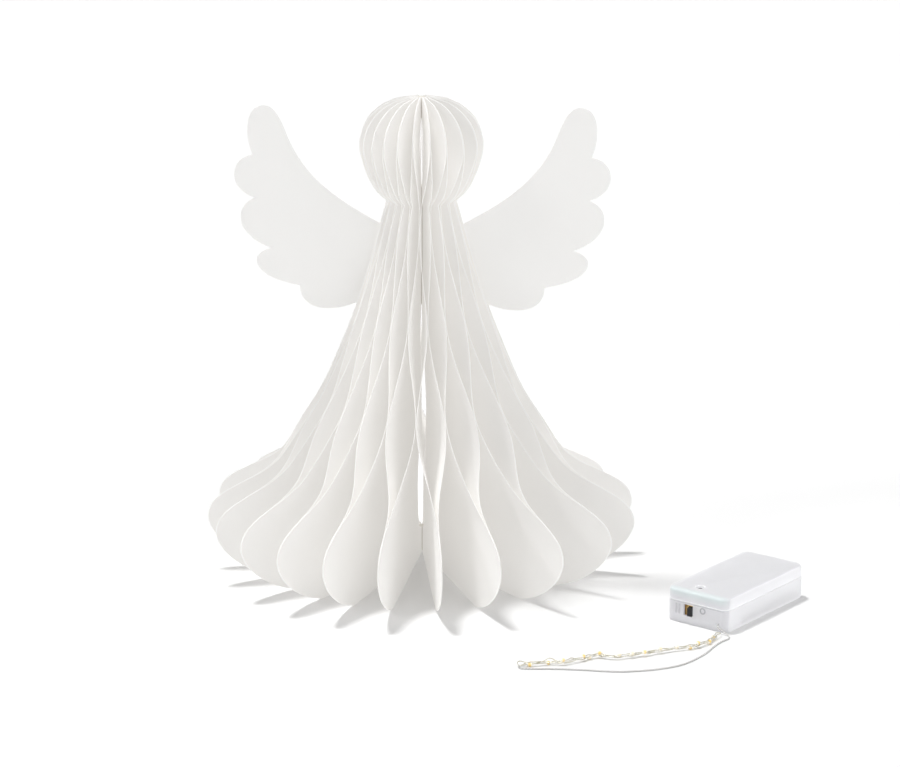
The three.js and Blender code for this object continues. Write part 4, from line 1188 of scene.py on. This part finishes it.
def make_light_wire():
    material, shader = finish(
        "light_wire", (0.66, 0.64, 0.55), 0.32, Metallic=0.6, Coat_Weight=0.4
    )
    wave = calc("SINE", times(run_of(shader)[1], 2 * math.pi / DRIFT_LENGTH))
    smudge, height = pattern(shader, handling, 1500.0, 1.4)
    shade = add(add(times(wave, 0.3), 0.5), smudge, clamp=True)
    colour = between(shade, (0.5, 0.465, 0.33), (0.78, 0.77, 0.72))
    surface(shader, colour, shade, (0.25, 0.42), height, 0.00002)
    return material


lead.data.materials.append(make_lead_cover())
wire.data.materials.append(make_light_wire())
print("cord finishes", lead.data.materials[0].name, wire.data.materials[0].name)

# %% [markdown]
# ## The lights
# A light is a chip with a yellow coating in a drop of clear resin, moulded over the wire. There
# are fifteen of the same kind, so a tree sets one drop on each marked point of the string, turned
# along the wire, with a small difference in size. The drop is yellow in its middle, where the
# chip sits, and pale at its ends. A chip that faces away shows little of its yellow, so each point
# also carries how far its chip faces the viewer.


# %% Light finish
def make_resin():
    # Painted light: the resin's small warm emission is a faint glow of its own.
    material, shader = finish(
        "light_resin", (0.95, 0.82, 0.45), 0.16, IOR=1.5, Coat_Weight=0.8,
        Emission_Color=(1, 0.85, 0.5, 1), Emission_Strength=0.12,
    )
    core, facing = (
        place(shader.id_data, "ShaderNodeAttribute", attribute_name=name).outputs["Fac"]
        for name in ("core", "facing")
    )
    smudge, height = pattern(shader, handling, 1800.0, 0.8)
    shade = add(times(span(core, 0, 1, 0.62, 0.3), facing), smudge, clamp=True)
    colour = between(shade, (0.93, 0.91, 0.84), (1.0, 0.68, 0.16))
    surface(shader, colour, shade, (0.12, 0.24), height, 0.00003)
    return material


def make_light_tree():
    sizes = {"Width": 1.95 * MM, "Length": 3.1 * MM, "Variation": 0.12, "Seed": 7}
    tree, value, out = shape_group("string_lights", sizes)
    ball = place(tree, "GeometryNodeMeshUVSphere", Segments=16, Rings=10, Radius=0.5)
    up = split(place(tree, "GeometryNodeInputPosition"))[2]
    stored = place(
        tree, "GeometryNodeStoreNamedAttribute", data_type="FLOAT", domain="POINT",
        Name="core", Geometry=ball, Value=times(calc("ABSOLUTE", up), 2.0),
    )
    wide = value["Width"]
    sized = place(tree, "ShaderNodeCombineXYZ", X=wide, Y=wide, Z=value["Length"])
    drop = place(tree, "GeometryNodeTransform", Geometry=stored, Scale=sized)
    heading = place(
        tree, "GeometryNodeInputNamedAttribute", data_type="FLOAT_VECTOR", Name="heading"
    )
    turned = place(tree, "FunctionNodeAlignRotationToVector", axis="Z", Vector=heading)
    varied = place(tree, "FunctionNodeRandomValue", data_type="FLOAT", Seed=value["Seed"])
    feed(varied.inputs[2], minus(1.0, value["Variation"]))
    feed(varied.inputs[3], 1.0)
    spots = place(tree, "GeometryNodeMeshToPoints", Mesh=value["Geometry"])
    copies = place(
        tree, "GeometryNodeInstanceOnPoints", Points=spots,
        Instance=drop, Rotation=turned, Scale=varied.outputs[1],
    )
    return close_group(tree, copies, value["Finish"], out)


# %% Set the lights on the string
HEADING_STEP = 0.005
light_points, light_headings = [], []
for run, share, _ in light_places:
    light_points.append(wire_at(run, share))
    light_headings.append(wire_at(run, share + HEADING_STEP) - wire_at(run, share - HEADING_STEP))
lights = new_piece("string_lights", light_points, [])
for label, kind, key, values in (
    ("heading", "FLOAT_VECTOR", "vector", light_headings),
    ("facing", "FLOAT", "value", [warm for _, _, warm in light_places]),
):
    attribute = lights.data.attributes.new(label, kind, "POINT")
    attribute.data.foreach_set(key, np.array(values, np.float32).ravel())
grown(lights, make_light_tree(), Finish=make_resin())
smooth(lights)
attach(lights, "root")
print("lights", len(light_points), "with", len(lights.data.polygons), "faces")

# %% [markdown]
# Now both cords stand in for their nodes and hang on the root body. The lead ends on the light
# string's first loop, and the string starts there and ends bare beside the case.

dressed(lead, "lead")
dressed(wire, "light_string")
print("cords declared", lead.name, wire.name)

# %% [markdown]
# ## Floor and light
# The set stands on a plain white floor that runs out of the picture. In the photograph each petal
# throws a short shadow that points outwards, so the main lamp hangs nearly overhead, a little to
# the left and back. A weak one from the right lights the long side of the case, another from the
# left puts the figure's soft shadow on its right wing, and a white world fills the rest. The
# floor adds a little of its own light for the camera, so that its lit part is plain white and its
# shadows stay. Reflections and clear plastic see the same white.


# %% Floor
FLOOR_GLOW, FLOOR_REACH = 0.02, 9.0
WORLD_LIGHT, WORLD_SEEN = 0.42, 1.0


def seen_directly(tree):
    """1 for what the camera sees, straight or mirrored or through plastic, and else 0."""
    ray = place(tree, "ShaderNodeLightPath").outputs
    seen = calc("MAXIMUM", ray["Is Camera Ray"], ray["Is Glossy Ray"])
    return calc("MAXIMUM", seen, ray["Is Transmission Ray"])


floor_finish, floor_shader = finish("floor", (0.86, 0.86, 0.86), 0.9, Emission_Color=(1, 1, 1, 1))
glow = times(seen_directly(floor_shader.id_data), FLOOR_GLOW)
feed(floor_shader.inputs["Emission Strength"], glow)
corners = [(x * FLOOR_REACH, y * FLOOR_REACH, 0) for x, y in ((-1, -1), (1, -1), (1, 1), (-1, 1))]
floor = new_piece("floor", corners, [(0, 1, 2, 3)], floor_finish)
print("floor", FLOOR_REACH * 2, "m wide")


# %% Lamps and world
def add_lamp(name, azimuth, elevation, strength, spread):
    """A far lamp that shines from the given direction, measured from the front towards +X."""
    data = bpy.data.lights.new(name, "SUN")
    data.energy, data.angle = strength, math.radians(spread)
    a, e = math.radians(azimuth), math.radians(elevation)
    source = Vector((math.sin(a) * math.cos(e), -math.cos(a) * math.cos(e), math.sin(e)))
    shown(name, data).rotation_euler = source.to_track_quat("Z", "Y").to_euler()


add_lamp("lamp_above", -128, 73, 2.0, 10)
add_lamp("lamp_side", 52, 24, 0.55, 50)
add_lamp("lamp_front", -64, 34, 0.34, 12)
world = bpy.data.worlds.new("studio")
bpy.context.scene.world = world
world.use_nodes = True
background = world.node_tree.nodes["Background"]
background.inputs["Color"].default_value = (1, 1, 1, 1)
level = span(seen_directly(world.node_tree), WORLD_LIGHT, WORLD_SEEN)
feed(background.inputs["Strength"], level)
bpy.context.scene.view_settings.view_transform = "Standard"
